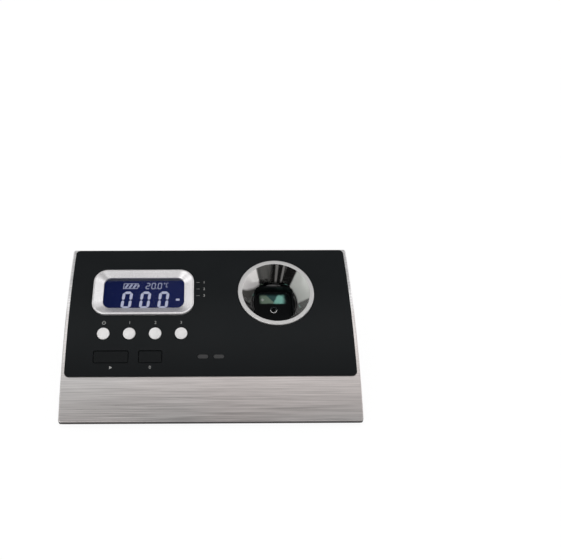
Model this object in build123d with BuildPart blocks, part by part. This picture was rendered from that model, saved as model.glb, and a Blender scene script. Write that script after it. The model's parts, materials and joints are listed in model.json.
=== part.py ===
from build123d import *
import math
import os

# A bench refracto-polarimeter: an arched steel cover on a flat base tray, a black control
# panel, a recessed display and a steel sample bowl with the optics under it.
# Millimetres. X runs to the user's right, Y to the back and Z up. The origin lies on the
# table, below the middle of the instrument.

# Overall size
WIDTH = 170.0
DEPTH = 105.0
REAR_HEIGHT = 40.0
HALF_W = WIDTH / 2
HALF_D = DEPTH / 2

# The arched top is a cylinder about an axis along X
ARCH_RADIUS = 240.0
REAR_TILT = 5.0
ARCH_Y = HALF_D + ARCH_RADIUS * math.sin(math.radians(REAR_TILT))
ARCH_Z = REAR_HEIGHT - ARCH_RADIUS * math.cos(math.radians(REAR_TILT))

# Sheet, panel and general clearances
SHEET = 1.2
PANEL_T = 1.2
PANEL_RADIUS = ARCH_RADIUS + PANEL_T
GLUE_GAP = 0.05
RUNNING_GAP = 0.15
SEAT_GAP = 0.02
COVER_CORNER_R = 1.4
COVER_EDGE_R = 0.6
PANEL_EDGE_R = 0.5

# Openings through the top: how far the cuts reach above and below the panel surface
CUT_ABOVE = 2.0
COVER_CUT = 6.0
PANEL_CUT = 3.0

# Small screws of the inside, their holes and the welded studs that take them
SMALL_SHANK_R = 0.8
SMALL_SHANK = 4.0
SMALL_HEAD_R = 1.6
SMALL_HEAD = 1.0
PILOT_R = 0.85
PILOT_DEPTH = 3.0
CLEAR_R = 1.0
STUD_R = 1.8
STUD_TOP = 1.8

# Larger screws of the sample stage and the optical bench
STAGE_SHANK_R = 1.2
STAGE_SHANK = 6.0
STAGE_HEAD_R = 2.3
STAGE_HEAD = 1.4
STAGE_PILOT_R = 1.25
STAGE_PILOT_DEPTH = 5.0
STAGE_CLEAR_R = 1.35

# Base tray and feet
FOOT_HEIGHT = 2.0
FOOT_R = 4.5
FOOT_RECESS = 0.8
FOOT_X = 77.5
FOOT_Y = 44.0
TRAY_BOTTOM = FOOT_HEIGHT
TRAY_EDGE_T = 1.2
TRAY_FLOOR_T = 1.8
TRAY_INSET = 0.8
TRAY_CORNER_R = 1.2
RIB_GAP = 0.4
RIB_T = 1.4
RIB_HEIGHT = 5.0
FOOT_CHAMFER = 0.5
FOOT_GAP = 0.1
BOSS_R = 3.4
BOSS_BLANK = 24.0
INNER_MARGIN = 0.4
COVER_BOTTOM = TRAY_BOTTOM + TRAY_EDGE_T
FLOOR_TOP = TRAY_BOTTOM + TRAY_FLOOR_T

# Panel extent along the arch, measured from the back edge of the cover
PANEL_START = 1.5
PANEL_END = 86.5
PANEL_HALF_W = 83.0
PANEL_CORNER_R = 2.5

# Display, centred here on the arch
DISPLAY_X = -39.8
DISPLAY_S = 33.8
BEZEL_W = 60.2
BEZEL_D = 31.4
BEZEL_R = 8.5
BEZEL_LIFT = 1.3
BEZEL_RIM = 1.0
BEZEL_BACK = 0.8
BEZEL_EDGE_R = 0.6
NECK_W = 55.6
NECK_D = 27.0
NECK_R = 6.8
NECK_DEPTH = 3.6
NECK_LAP = 0.4
NECK_GAP = 0.2
VIEW_W = 48.6
VIEW_D = 21.4
VIEW_R = 4.6
VIEW_V = 1.3
FUNNEL_DEPTH = 2.4

# Display stack, depths below the panel surface
PANE_T = 1.0
PANE_R = 2.5
DISPLAY_GASKET_T = 0.5
GASKET_MARGIN = 0.9
GASKET_R = 3.0
LCD_T = 2.2
LCD_R = 0.6
LCD_STEP = 3.0
BACKLIGHT_T = 2.1
DIODE_W = 6.0
DIODE_D = 1.2
DIODE_R = 0.5
DIODE_H = 0.8
HOLDER_TOP = 3.1
HOLDER_WALL = 1.8
HOLDER_R = 3.5
HOLDER_GAP = 0.05
HOLDER_FLOOR = 1.2
HOLDER_OPENING_W = 40.0
HOLDER_OPENING_D = 14.0
HOLDER_EAR_X = 32.8
HOLDER_EAR_Y = 9.0
HOLDER_EAR_W = 9.4
HOLDER_EAR_D = 6.0
HOLDER_EAR_R = 2.4
HOLDER_EAR_T = 1.95
HOLDER_EAR_BOTTOM = 8.0
EAR_STUD_R = 2.0
EAR_STUD_END = 6.0

# Keys: one shared plane, tangent to the panel between the two rows
KEY_S = 68.0
BUTTON_V = 7.0
KEY_V = -7.1
BUTTON_X = (-62.0, -47.0, -32.0, -17.0)
BUTTON_R = 3.55
BUTTON_HOLE_R = BUTTON_R + RUNNING_GAP
BUTTON_LIFT = 0.4
BUTTON_DOME = 0.7
BUTTON_EDGE_R = 0.25
START_X = -57.0
START_W = 19.7
ZERO_X = -34.5
ZERO_W = 13.2
KEY_D = 7.0
KEY_R = 0.8
KEY_GAP = 0.3
KEY_RECESS = 0.25
KEY_EDGE_R = 0.3
LAMP_X = (-4.4, 4.7)
LAMP_W = 5.7
LAMP_D = 2.3
LAMP_R = 1.0
LAMP_GAP = 0.1
LAMP_TOP = 0.25
LAMP_FOOT_W = 7.3
LAMP_FOOT_D = 4.3
LAMP_FOOT_TOP = 3.0
LAMP_FOOT_T = 1.6
FLANGE_TOP = 2.75
FLANGE_T = 0.75
FLANGE_REACH = 1.0
STEM_END = 4.6
STEM_R = 1.5
DOME_TOP = 4.65
MAT_TOP = 5.7
MAT_X = -39.5
MAT_W = 60.0
MAT_D = 21.0
MAT_DOME_R = 2.9
MAT_DOME_TAPER = 35.0
BOARD_TOP = 6.3
BOARD_T = 1.2
KEY_BOARD_X = -30.5
KEY_BOARD_W = 89.0
KEY_BOARD_D = 22.5
KEY_BOARD_SCREWS = ((-72.0, 8.0), (-72.0, -8.0), (11.0, 8.0), (11.0, -8.0))

# Sample bowl, centred here on the arch
BOWL_X = 39.3
BOWL_S = 33.9
RIM_R = 22.7
RIM_LIFT = 0.4
BOWL_TOP_R = 20.2
BOWL_FLOOR_R = 13.3
BOWL_DEPTH = 13.0
BOWL_SHEET = 1.2
RIM_EDGE_R = 0.5
RIM_INNER_R = 0.3
BOWL_FOOT_R = 0.8
RIM_T = 0.8
RIM_STEP = 0.55
SKIRT_R = 21.8
BOWL_FLANGE_R = 26.0
BOWL_FLANGE_TOP = 4.0
BOWL_FLANGE_T = 1.2
WELL_W = 24.2
WELL_D = 25.4
WELL_R = 5.5
POST_U = 17.5
POST_V = 16.0
POST_R = 2.2
POST_TOP = 4.8
BOWL_SEAL_BLANK = 3.0
BOWL_SEAL_MARGIN = 0.4
BOWL_SEAL_GAP = 0.3

# Sample well insert, depths below the panel surface
WELL_WALL = 1.0
WELL_FLOOR = 19.0
WELL_BODY_TOP = 14.7
WELL_BODY_BOTTOM = 21.0
WELL_BODY_W = 30.0
WELL_BODY_D = 31.0
WELL_BODY_R = 4.0
WELL_CUT_DEPTH = 15.0
WELL_CUT = 4.5
WELL_FOOT_R = 0.8
WELL_NECK_GAP = 0.1
WELL_SEAL_MARGIN = 0.5
WELL_SEAL_GAP = 0.15
AXIS_DEPTH = 17.2
LIGHT_HOLE_R = 1.7
WINDOW_R = 2.35
WINDOW_T = 1.1
WINDOW_GAP = 0.05
WINDOW_CHAMFER = 0.15
WINDOW_POCKET = 1.6
WINDOW_SEAL_R = 1.8
PRISM_V = 7.05
PRISM_W = 17.0
PRISM_D = 7.5
PRISM_GAP = 0.1
PRISM_CORNER_R = 0.3
PRISM_NECK_END = 21.5
PRISM_SHOULDER = 10.5
PRISM_SLOPE_TOP = 22.4
PRISM_BOTTOM = 25.9
PRISM_FOOT = 7.0
PRISM_SEAL_T = 0.5
PRISM_SEAL_W = 20.8
PRISM_SEAL_D = 8.9
SENSOR_V = -1.3
SENSOR_R = 2.15
SENSOR_FACE_R = 1.5
SENSOR_RIM_R = 1.7
SENSOR_FACE = 19.15
SENSOR_RIM = 18.75
SENSOR_BOTTOM = 23.2
SENSOR_GAP = 0.02

# Optical bench
PLATE_T = 2.0
PLATE_W = 42.0
PLATE_D = 39.0
PLATE_R = 3.0
PLATE_BOTTOM = WELL_BODY_BOTTOM + PLATE_T
PLATE_OPENING_W = 25.0
PLATE_OPENING_D = 17.2
PLATE_OPENING_V = 5.0
BARREL_R = 5.0
GROOVE_R = BARREL_R + GLUE_GAP
LAMP_END = -45.0
DETECTOR_END = 34.0
BLOCK_HALF_W = 10.0
BLOCK_INNER_END = 15.3
GROOVE_REACH = 60.0
GROOVE_LENGTH = 45.0
LEG_U = 18.5
LEG_R = 2.0
LEG_END = 29.6
LEG_LAP = 0.5
EAR_POINTS = ((-41.0, 14.5), (-41.0, -14.5), (31.0, 14.5), (31.0, -14.5))
EAR_R = 4.0
EAR_WEB = 12.5
EAR_WEB_SHIFT = 0.85
CAP_HOLE_V = 8.0
CAP_PILOT_R = 0.82
CAP_PILOT_DEPTH = 3.6
CAP_CLEAR_R = 0.95
LAMP_CAP_SCREWS = (-42.0, -21.5)
DETECTOR_CAP_SCREWS = (21.5, 31.0)
CAP_T = 1.0
CAP_INNER_END = 18.7

# Places of the optical pieces along the light path, from the bowl's centre
LAMP_BASE = -44.0
LAMP_BODY = -43.0
LAMP_BODY_R = 2.5
LAMP_CROWN = -38.8
LAMP_SHOULDER = -41.2
COLLIMATOR_FLAT = -38.4
COLLIMATOR_CROWN = -35.2
COLLIMATOR_EDGE = -37.0
FILTER_START = -33.6
FILTER_END = -32.1
POLARISER_START = -30.9
POLARISER_END = -29.7
MODULATOR_START = -28.0
MODULATOR_END = -19.0
ROD_R = 2.5
BOBBIN_R = 3.1
BOBBIN_FLANGE = 0.8
WINDING_R = 4.6
WINDING_GAP = 0.05
ANALYSER_START = 19.0
ANALYSER_END = 20.2
DETECTOR_LENS_FLAT = 25.4
DETECTOR_LENS_CROWN = 22.2
DETECTOR_LENS_EDGE = 24.0
DETECTOR_START = 28.4
DETECTOR_FLANGE = 31.6
DETECTOR_BACK = 32.4
DETECTOR_R = 4.1
DETECTOR_CHAMFER = 0.4

# Refractometer pieces, reaches measured square to the prism's slanted faces
PRISM_LAMP_REACH = 4.6
PRISM_LAMP_R = 1.5
PRISM_LAMP_LENGTH = 3.4
PRISM_LAMP_FLANGE_R = 1.9
PRISM_LAMP_FLANGE_T = 0.8
PRISM_LAMP_DOME = 1.2
PRISM_LENS_REACH = 2.0
PRISM_LENS_R = 2.6
PRISM_LENS_T = 1.2
PRISM_LENS_CHAMFER = 0.2
LINE_SENSOR_REACH = 4.4
LINE_SENSOR_W = 5.0
LINE_SENSOR_D = 6.0
LINE_SENSOR_T = 1.4
SENSOR_BOARD_BOTTOM = 30.6
SENSOR_BOARD_T = 0.98
SENSOR_BOARD_W = 42.0
SENSOR_BOARD_D = 11.0
SENSOR_BOARD_R = 1.5
CLIP_T = 0.5
CLIP_W = 8.0
CLIP_GAP = 0.05

# Batteries and their door
CELL_R = 7.25
CELL_LENGTH = 50.5
CELL_START = -66.0
CELL_Y = (14.9, 29.9)
CELL_Z = 11.9
CELL_CHAMFER = 0.5
NUB_R = 2.6
NUB = 1.3
LEAF_T = 0.3
LEAF_W = 8.0
BAY_X0 = -69.0
BAY_X1 = -12.5
BAY_Y0 = 7.4
BAY_Y1 = 37.4
BAY_TOP = 19.3
BAY_WALL = 1.2
DOOR_X0 = -70.4
DOOR_X1 = -11.1
DOOR_Y0 = 4.8
DOOR_T = 1.1
TONGUE_W = 1.0
TONGUE_BOTTOM = 2.5
DOOR_GAP = 0.1
GRIP_FROM_EDGE = 14.0
GRIP_W = 22.0
GRIP_D = 9.0
GRIP_DEPTH = 0.5
GRIP_RIB_W = 14.0
GRIP_RIB_D = 0.9
GRIP_RIB_PITCH = 2.2

# Main board
BOARD_Z = 6.5
MAIN_BOARD_T = 1.6
MAIN_BOARD_X = 70.0
MAIN_BOARD_Y0 = -40.0
MAIN_BOARD_Y1 = -4.0
BOARD_HOLES_X = 64.0
BOARD_HOLES_Y = (-9.0, -35.0)
BOARD_BOSS_R = 3.0
BOARD_CLEAR_R = 1.1
CAPACITOR_R = 3.1
CAPACITOR_HEIGHT = 5.4
CABLE_T = 0.3
CABLE_W = 20.0
CABLE_X = -50.0
CABLE_BEND_R = 0.8

# Brackets inside the cover, screwed from below
BRACKET_X = 79.0
BRACKET_Y = (33.0, -22.0)
BRACKET_LEN = 8.0
BRACKET_RISE = 10.0
BRACKET_FOOT = 4.0
BRACKET_HOLE_R = 1.3
HEAD_RECESS_R = 2.7
HEAD_RECESS = 0.95
BASE_SHANK = 3.4
BASE_HEAD_R = 2.6
BASE_HEAD = 0.9


def arch_point(radius, tilt):
    """Point of the side view on a circle about the arch axis, tilt in degrees."""
    angle = math.radians(tilt)
    return ARCH_Y - radius * math.sin(angle), ARCH_Z + radius * math.cos(angle)


def arch_height(radius, y):
    """Height of a circle about the arch axis at a given Y."""
    return ARCH_Z + math.sqrt(radius**2 - (ARCH_Y - y) ** 2)


def tilt_at(distance):
    """Slope of the top at a distance along the arch from the back edge, in degrees."""
    return REAR_TILT + math.degrees(distance / ARCH_RADIUS)


def surface_plane(x, distance):
    """Plane touching the panel surface, with its own Y running up the slope."""
    angle = math.radians(tilt_at(distance))
    y, z = arch_point(PANEL_RADIUS, tilt_at(distance))
    normal = (0, -math.sin(angle), math.cos(angle))
    return Plane(origin=(x, y, z), x_dir=(1, 0, 0), z_dir=normal)


def section_plane(plane):
    """Plane standing on another one: its X stays, its Y is the other one's normal."""
    return Plane(origin=plane.origin, x_dir=plane.x_dir, z_dir=-plane.y_dir)


def side_outline(radius, front, rear, bottom):
    """Side view of the arched body, drawn on the YZ plane."""
    middle = (front + rear) / 2
    with BuildSketch(Plane.YZ) as outline:
        with BuildLine():
            Line((front, bottom), (rear, bottom))
            Line((rear, bottom), (rear, arch_height(radius, rear)))
            ThreePointArc(
                (rear, arch_height(radius, rear)),
                (middle, arch_height(radius, middle)),
                (front, arch_height(radius, front)),
            )
            Line((front, arch_height(radius, front)), (front, bottom))
        make_face()
    return outline.sketch


def rounded(plane, depth, width, height, radius, centre=(0, 0)):
    """Rounded rectangle lying at a depth below a plane."""
    with BuildSketch(plane.offset(-depth)) as outline:
        with Locations(centre):
            RectangleRounded(width, height, radius)
    return outline.sketch


def disc(plane, depth, radius, centres=((0, 0),)):
    """Circles lying at a depth below a plane."""
    with BuildSketch(plane.offset(-depth)) as outline:
        with Locations(*centres):
            Circle(radius)
    return outline.sketch


def lathe_outline(plane, points):
    """Closed outline on a section plane, points as radius and height."""
    with BuildSketch(plane) as outline:
        with BuildLine():
            Polyline(*points, close=True)
        make_face()
    return outline.sketch


def screws(plane, depth, centres, shank_r, shank, head_r, head):
    """Pan-head screws driven along a plane's normal, head outwards, seat at the depth."""
    with BuildPart() as group:
        extrude(disc(plane, depth, shank_r, centres), amount=-shank)
        extrude(disc(plane, depth, head_r, centres), amount=head)
        tops = group.edges().filter_by(GeomType.CIRCLE).filter_by(
            lambda edge: math.isclose(edge.radius, head_r)
        )
        heads = [e for e in tops if plane.to_local_coords(e.center()).Z > head / 2 - depth]
        chamfer(heads, head / 3)
    return group.part


def small_screws(plane, depth, centres):
    """The small pan-head screws used all over the inside."""
    return screws(
        plane, depth, centres, SMALL_SHANK_R, SMALL_SHANK, SMALL_HEAD_R, SMALL_HEAD
    )


def save(part, name):
    part.label = name
    export_step(part, f"parts/{name}.step")


os.makedirs("parts", exist_ok=True)

DISPLAY = surface_plane(DISPLAY_X, DISPLAY_S)
KEYS = surface_plane(0, KEY_S)
BOWL = surface_plane(BOWL_X, BOWL_S)
BOWL_SECTION = section_plane(BOWL)
BOWL_AXIS = Axis(BOWL.origin, BOWL.z_dir)
# Cross section of the light path: its normal runs along X, its Y along the bowl's normal
LIGHT = Plane(origin=BOWL.offset(-AXIS_DEPTH).origin, x_dir=BOWL.y_dir, z_dir=BOWL.x_dir)
UNDERSIDE = Plane(origin=(0, 0, 0), x_dir=(1, 0, 0), z_dir=(0, 0, -1))

button_centres = [(x, BUTTON_V) for x in BUTTON_X]
holder_ears = [(side * HOLDER_EAR_X, end * HOLDER_EAR_Y) for side in (-1, 1) for end in (-1, 1)]


def top_openings(depth):
    """What is cut through the top for the display, the bowl, the keys and the lamps."""
    reach = depth + CUT_ABOVE
    with BuildPart() as cutter:
        neck = rounded(
            DISPLAY, depth, NECK_W + 2 * NECK_GAP, NECK_D + 2 * NECK_GAP, NECK_R + NECK_GAP
        )
        extrude(neck, amount=reach)
        extrude(disc(BOWL, depth, RIM_R + RUNNING_GAP), amount=reach)
        extrude(disc(KEYS, depth, BUTTON_HOLE_R, button_centres), amount=reach)
        for key_x, key_w in ((START_X, START_W), (ZERO_X, ZERO_W)):
            key_hole = rounded(
                KEYS,
                depth,
                key_w + 2 * KEY_GAP,
                KEY_D + 2 * KEY_GAP,
                KEY_R + KEY_GAP,
                (key_x, KEY_V),
            )
            extrude(key_hole, amount=reach)
        for lamp_x in LAMP_X:
            lamp_hole = rounded(
                KEYS,
                depth,
                LAMP_W + 2 * LAMP_GAP,
                LAMP_D + 2 * LAMP_GAP,
                LAMP_R + LAMP_GAP,
                (lamp_x, KEY_V),
            )
            extrude(lamp_hole, amount=reach)
    return cutter.part


# Pressed steel cover: arched top, straight walls, open underneath, with weld studs inside
with BuildPart() as steel_cover:
    extrude(side_outline(ARCH_RADIUS, -HALF_D, HALF_D, COVER_BOTTOM), amount=HALF_W, both=True)
    fillet(steel_cover.edges().filter_by(Axis.Z), COVER_CORNER_R)
    arched_face = steel_cover.faces().filter_by(GeomType.CYLINDER).sort_by(SortBy.AREA)[-1]
    fillet(arched_face.edges(), COVER_EDGE_R)
    extrude(
        side_outline(ARCH_RADIUS - SHEET, SHEET - HALF_D, HALF_D - SHEET, COVER_BOTTOM - 1),
        amount=HALF_W - SHEET,
        both=True,
        mode=Mode.SUBTRACT,
    )
    add(top_openings(COVER_CUT), mode=Mode.SUBTRACT)
    extrude(disc(DISPLAY, EAR_STUD_END, EAR_STUD_R, holder_ears), amount=EAR_STUD_END - STUD_TOP)
    extrude(
        disc(DISPLAY, EAR_STUD_END, PILOT_R, holder_ears), amount=PILOT_DEPTH, mode=Mode.SUBTRACT
    )
    extrude(disc(KEYS, BOARD_TOP, STUD_R, KEY_BOARD_SCREWS), amount=BOARD_TOP - STUD_TOP)
    extrude(
        disc(KEYS, BOARD_TOP, PILOT_R, KEY_BOARD_SCREWS), amount=PILOT_DEPTH, mode=Mode.SUBTRACT
    )
save(steel_cover.part, "steel_cover")

# Brackets spot-welded inside the side walls, tapped for the base screws
with BuildPart() as cover_brackets:
    for side in (-1, 1):
        wall = side * (HALF_W - SHEET - GLUE_GAP)
        for middle in BRACKET_Y:
            with BuildSketch(Plane.XZ.offset(-middle - BRACKET_LEN / 2)):
                with BuildLine():
                    Polyline(
                        (wall, FLOOR_TOP + SEAT_GAP),
                        (wall, FLOOR_TOP + BRACKET_RISE),
                        (wall - side * SHEET, FLOOR_TOP + BRACKET_RISE),
                        (wall - side * SHEET, FLOOR_TOP + SHEET),
                        (side * (BRACKET_X - BRACKET_FOOT), FLOOR_TOP + SHEET),
                        (side * (BRACKET_X - BRACKET_FOOT), FLOOR_TOP + SEAT_GAP),
                        close=True,
                    )
                make_face()
            extrude(amount=BRACKET_LEN)
    bracket_points = [(side * BRACKET_X, y) for side in (-1, 1) for y in BRACKET_Y]
    extrude(
        disc(Plane.XY, -FLOOR_TOP, BRACKET_HOLE_R, bracket_points),
        amount=2 * SHEET,
        mode=Mode.SUBTRACT,
    )
save(cover_brackets.part, "cover_brackets")

# Black control panel, a curved plate bonded on the cover
with BuildPart() as control_panel:
    start_tilt = tilt_at(PANEL_START)
    end_tilt = tilt_at(PANEL_END)
    middle_tilt = (start_tilt + end_tilt) / 2
    inner = ARCH_RADIUS + GLUE_GAP
    with BuildSketch(Plane.YZ):
        with BuildLine():
            ThreePointArc(
                arch_point(PANEL_RADIUS, start_tilt),
                arch_point(PANEL_RADIUS, middle_tilt),
                arch_point(PANEL_RADIUS, end_tilt),
            )
            Line(arch_point(PANEL_RADIUS, end_tilt), arch_point(inner, end_tilt))
            ThreePointArc(
                arch_point(inner, end_tilt),
                arch_point(inner, middle_tilt),
                arch_point(inner, start_tilt),
            )
            Line(arch_point(inner, start_tilt), arch_point(PANEL_RADIUS, start_tilt))
        make_face()
    extrude(amount=PANEL_HALF_W, both=True)
    corners = control_panel.edges().filter_by(GeomType.LINE).filter_by(
        lambda edge: edge.length < 2 * PANEL_T
    )
    fillet(corners, PANEL_CORNER_R)
    outer_face = control_panel.faces().filter_by(GeomType.CYLINDER).sort_by(SortBy.AREA)[-1]
    fillet(outer_face.edges(), PANEL_EDGE_R)
    add(top_openings(PANEL_CUT), mode=Mode.SUBTRACT)
save(control_panel.part, "control_panel")

# Display bezel: a rim on the panel, a funnel down to the view and a neck through the cover
with BuildPart() as display_bezel:
    extrude(
        rounded(DISPLAY, BEZEL_BACK, BEZEL_W, BEZEL_D, BEZEL_R), amount=BEZEL_BACK + BEZEL_LIFT
    )
    rim_edges = display_bezel.faces().sort_by(Axis(DISPLAY.origin, DISPLAY.z_dir))[-1].edges()
    fillet(rim_edges, BEZEL_EDGE_R)
    extrude(
        side_outline(PANEL_RADIUS + GLUE_GAP, -HALF_D, HALF_D, 0),
        amount=HALF_W,
        both=True,
        mode=Mode.SUBTRACT,
    )
    extrude(rounded(DISPLAY, NECK_DEPTH, NECK_W, NECK_D, NECK_R), amount=NECK_DEPTH + NECK_LAP)
    rim = 2 * BEZEL_RIM
    loft(
        sections=[
            rounded(DISPLAY, -BEZEL_LIFT, BEZEL_W - rim, BEZEL_D - rim, BEZEL_R - BEZEL_RIM),
            rounded(DISPLAY, FUNNEL_DEPTH, VIEW_W, VIEW_D, VIEW_R, (0, VIEW_V)),
        ],
        ruled=True,
        mode=Mode.SUBTRACT,
    )
    extrude(
        rounded(DISPLAY, NECK_DEPTH, VIEW_W, VIEW_D, VIEW_R, (0, VIEW_V)),
        amount=NECK_DEPTH - FUNNEL_DEPTH,
        mode=Mode.SUBTRACT,
    )
save(display_bezel.part, "display_bezel")

# Display stack: clear pane, gasket, glass cell and light guide in their holder
pane_bottom = NECK_DEPTH + PANE_T
gasket_bottom = pane_bottom + DISPLAY_GASKET_T
lcd_bottom = gasket_bottom + LCD_T
backlight_bottom = lcd_bottom + BACKLIGHT_T
with BuildPart() as display_window:
    extrude(rounded(DISPLAY, pane_bottom, NECK_W, NECK_D, PANE_R), amount=PANE_T)
save(display_window.part, "display_window")

with BuildPart() as display_gasket:
    extrude(rounded(DISPLAY, gasket_bottom, NECK_W, NECK_D, PANE_R), amount=DISPLAY_GASKET_T)
    gasket_w = VIEW_W + 2 * GASKET_MARGIN
    gasket_d = VIEW_D + 2 * GASKET_MARGIN
    extrude(
        rounded(DISPLAY, gasket_bottom, gasket_w, gasket_d, GASKET_R, (0, VIEW_V)),
        amount=DISPLAY_GASKET_T,
        mode=Mode.SUBTRACT,
    )
save(display_gasket.part, "display_gasket")

with BuildPart() as lcd_module:
    extrude(rounded(DISPLAY, lcd_bottom, NECK_W, NECK_D, LCD_R), amount=LCD_T / 2)
    extrude(
        rounded(DISPLAY, lcd_bottom - LCD_T / 2, NECK_W, NECK_D - LCD_STEP, LCD_R),
        amount=LCD_T / 2,
    )
save(lcd_module.part, "lcd_module")

with BuildPart() as display_backlight:
    extrude(rounded(DISPLAY, backlight_bottom, NECK_W, NECK_D, LCD_R), amount=BACKLIGHT_T)
    diode_place = (NECK_W / 2 - DIODE_W, 0)
    extrude(
        rounded(DISPLAY, backlight_bottom, DIODE_W, DIODE_D, DIODE_R, diode_place),
        amount=DIODE_H,
        mode=Mode.SUBTRACT,
    )
save(display_backlight.part, "display_backlight")

with BuildPart() as display_holder:
    holder_bottom = backlight_bottom + HOLDER_FLOOR
    extrude(
        rounded(
            DISPLAY, holder_bottom, NECK_W + 2 * HOLDER_WALL, NECK_D + 2 * HOLDER_WALL, HOLDER_R
        ),
        amount=holder_bottom - HOLDER_TOP,
    )
    for side in (-1, 1):
        for end in (-1, 1):
            centre = (side * (HOLDER_EAR_X - HOLDER_EAR_R + NECK_LAP), end * HOLDER_EAR_Y)
            ear = rounded(
                DISPLAY, HOLDER_EAR_BOTTOM, HOLDER_EAR_W, HOLDER_EAR_D, HOLDER_EAR_R, centre
            )
            extrude(ear, amount=HOLDER_EAR_T)
    extrude(
        rounded(
            DISPLAY, backlight_bottom, NECK_W + 2 * HOLDER_GAP, NECK_D + 2 * HOLDER_GAP, LCD_R
        ),
        amount=backlight_bottom - HOLDER_TOP,
        mode=Mode.SUBTRACT,
    )
    extrude(
        disc(DISPLAY, HOLDER_EAR_BOTTOM, CLEAR_R, holder_ears),
        amount=HOLDER_EAR_T,
        mode=Mode.SUBTRACT,
    )
    extrude(
        rounded(DISPLAY, holder_bottom, HOLDER_OPENING_W, HOLDER_OPENING_D, LCD_R),
        amount=HOLDER_FLOOR,
        mode=Mode.SUBTRACT,
    )
save(display_holder.part, "display_holder")

BELOW_DISPLAY = Plane(origin=DISPLAY.origin, x_dir=DISPLAY.x_dir, z_dir=-DISPLAY.z_dir)
flipped_ears = [(x, -y) for x, y in holder_ears]


def dome_middle(radius, rise):
    """Point halfway along a spherical dome, as radius and rise above the dome's edge."""
    ball = (radius**2 + rise**2) / (2 * rise)
    half_angle = math.asin(radius / ball) / 2
    return ball * math.sin(half_angle), rise - ball * (1 - math.cos(half_angle))


def dome_cap(x):
    """Round push button: domed cap, flange below the cover and a short stem."""
    centre = KEYS.from_local_coords((x, BUTTON_V, 0))
    plane = Plane(origin=centre, x_dir=KEYS.x_dir, z_dir=KEYS.z_dir)
    crown = BUTTON_LIFT + BUTTON_DOME
    flange_bottom = FLANGE_TOP + FLANGE_T
    flange_r = BUTTON_R + FLANGE_REACH
    with BuildPart() as button:
        with BuildSketch(section_plane(plane)):
            with BuildLine():
                Polyline(
                    (0, crown),
                    (0, -STEM_END),
                    (STEM_R, -STEM_END),
                    (STEM_R, -flange_bottom),
                    (flange_r, -flange_bottom),
                    (flange_r, -FLANGE_TOP),
                    (BUTTON_R, -FLANGE_TOP),
                    (BUTTON_R, BUTTON_LIFT),
                )
                middle_r, middle_rise = dome_middle(BUTTON_R, BUTTON_DOME)
                ThreePointArc(
                    (BUTTON_R, BUTTON_LIFT), (middle_r, BUTTON_LIFT + middle_rise), (0, crown)
                )
            make_face()
        revolve(axis=Axis(plane.origin, plane.z_dir))
        rims = button.edges().filter_by(GeomType.CIRCLE).filter_by(
            lambda edge: math.isclose(edge.radius, BUTTON_R, abs_tol=1e-4)
        )
        fillet(rims.sort_by(Axis(plane.origin, plane.z_dir))[-1], BUTTON_EDGE_R)
    return button.part


def bar_key(x, width):
    """Rectangular key lying almost flush in its opening, with a flange and a stem."""
    centre = (x, KEY_V)
    flange_bottom = FLANGE_TOP + FLANGE_T
    with BuildPart() as key:
        flange = rounded(
            KEYS,
            flange_bottom,
            width + 2 * FLANGE_REACH,
            KEY_D + 2 * FLANGE_REACH,
            KEY_R + FLANGE_REACH,
            centre,
        )
        extrude(flange, amount=FLANGE_T)
        extrude(
            rounded(KEYS, flange_bottom, width, KEY_D, KEY_R, centre),
            amount=flange_bottom - KEY_RECESS,
        )
        top = key.faces().sort_by(Axis(KEYS.origin, KEYS.z_dir))[-1]
        fillet(top.edges(), KEY_EDGE_R)
        extrude(disc(KEYS, STEM_END, STEM_R, [centre]), amount=STEM_END - flange_bottom)
    return key.part


for button_name, button_x in zip(("power", "angle", "sugar", "scale"), BUTTON_X):
    save(dome_cap(button_x), f"{button_name}_button")
save(bar_key(START_X, START_W), "start_key")
save(bar_key(ZERO_X, ZERO_W), "zero_key")

# Silicone mat with one dome under each key
dome_centres = button_centres + [(START_X, KEY_V), (ZERO_X, KEY_V)]
with BuildPart() as key_mat:
    extrude(
        rounded(KEYS, BOARD_TOP, MAT_W, MAT_D, 2 * KEY_R, (MAT_X, 0)), amount=BOARD_TOP - MAT_TOP
    )
    extrude(
        disc(KEYS, MAT_TOP, MAT_DOME_R, dome_centres),
        amount=MAT_TOP - DOME_TOP,
        taper=MAT_DOME_TAPER,
    )
save(key_mat.part, "key_mat")

with BuildPart() as key_board:
    board_outline = rounded(
        KEYS, BOARD_TOP + BOARD_T, KEY_BOARD_W, KEY_BOARD_D, 2 * KEY_R, (KEY_BOARD_X, 0)
    )
    extrude(board_outline, amount=BOARD_T)
    extrude(
        disc(KEYS, BOARD_TOP + BOARD_T, CLEAR_R, KEY_BOARD_SCREWS),
        amount=BOARD_T,
        mode=Mode.SUBTRACT,
    )
save(key_board.part, "key_board")

BELOW_KEYS = Plane(origin=KEYS.origin, x_dir=KEYS.x_dir, z_dir=-KEYS.z_dir)
flipped_screws = [(x, -y) for x, y in KEY_BOARD_SCREWS]

# Two light pipes standing on the key board
with BuildPart() as indicator_lamps:
    for lamp_x in LAMP_X:
        centre = (lamp_x, KEY_V)
        extrude(
            rounded(KEYS, BOARD_TOP - SEAT_GAP, LAMP_W, LAMP_D, LAMP_R, centre),
            amount=BOARD_TOP - SEAT_GAP - LAMP_TOP,
        )
        extrude(
            rounded(
                KEYS, LAMP_FOOT_TOP + LAMP_FOOT_T, LAMP_FOOT_W, LAMP_FOOT_D, LAMP_R, centre
            ),
            amount=LAMP_FOOT_T,
        )
save(indicator_lamps.part, "indicator_lamps")

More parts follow.
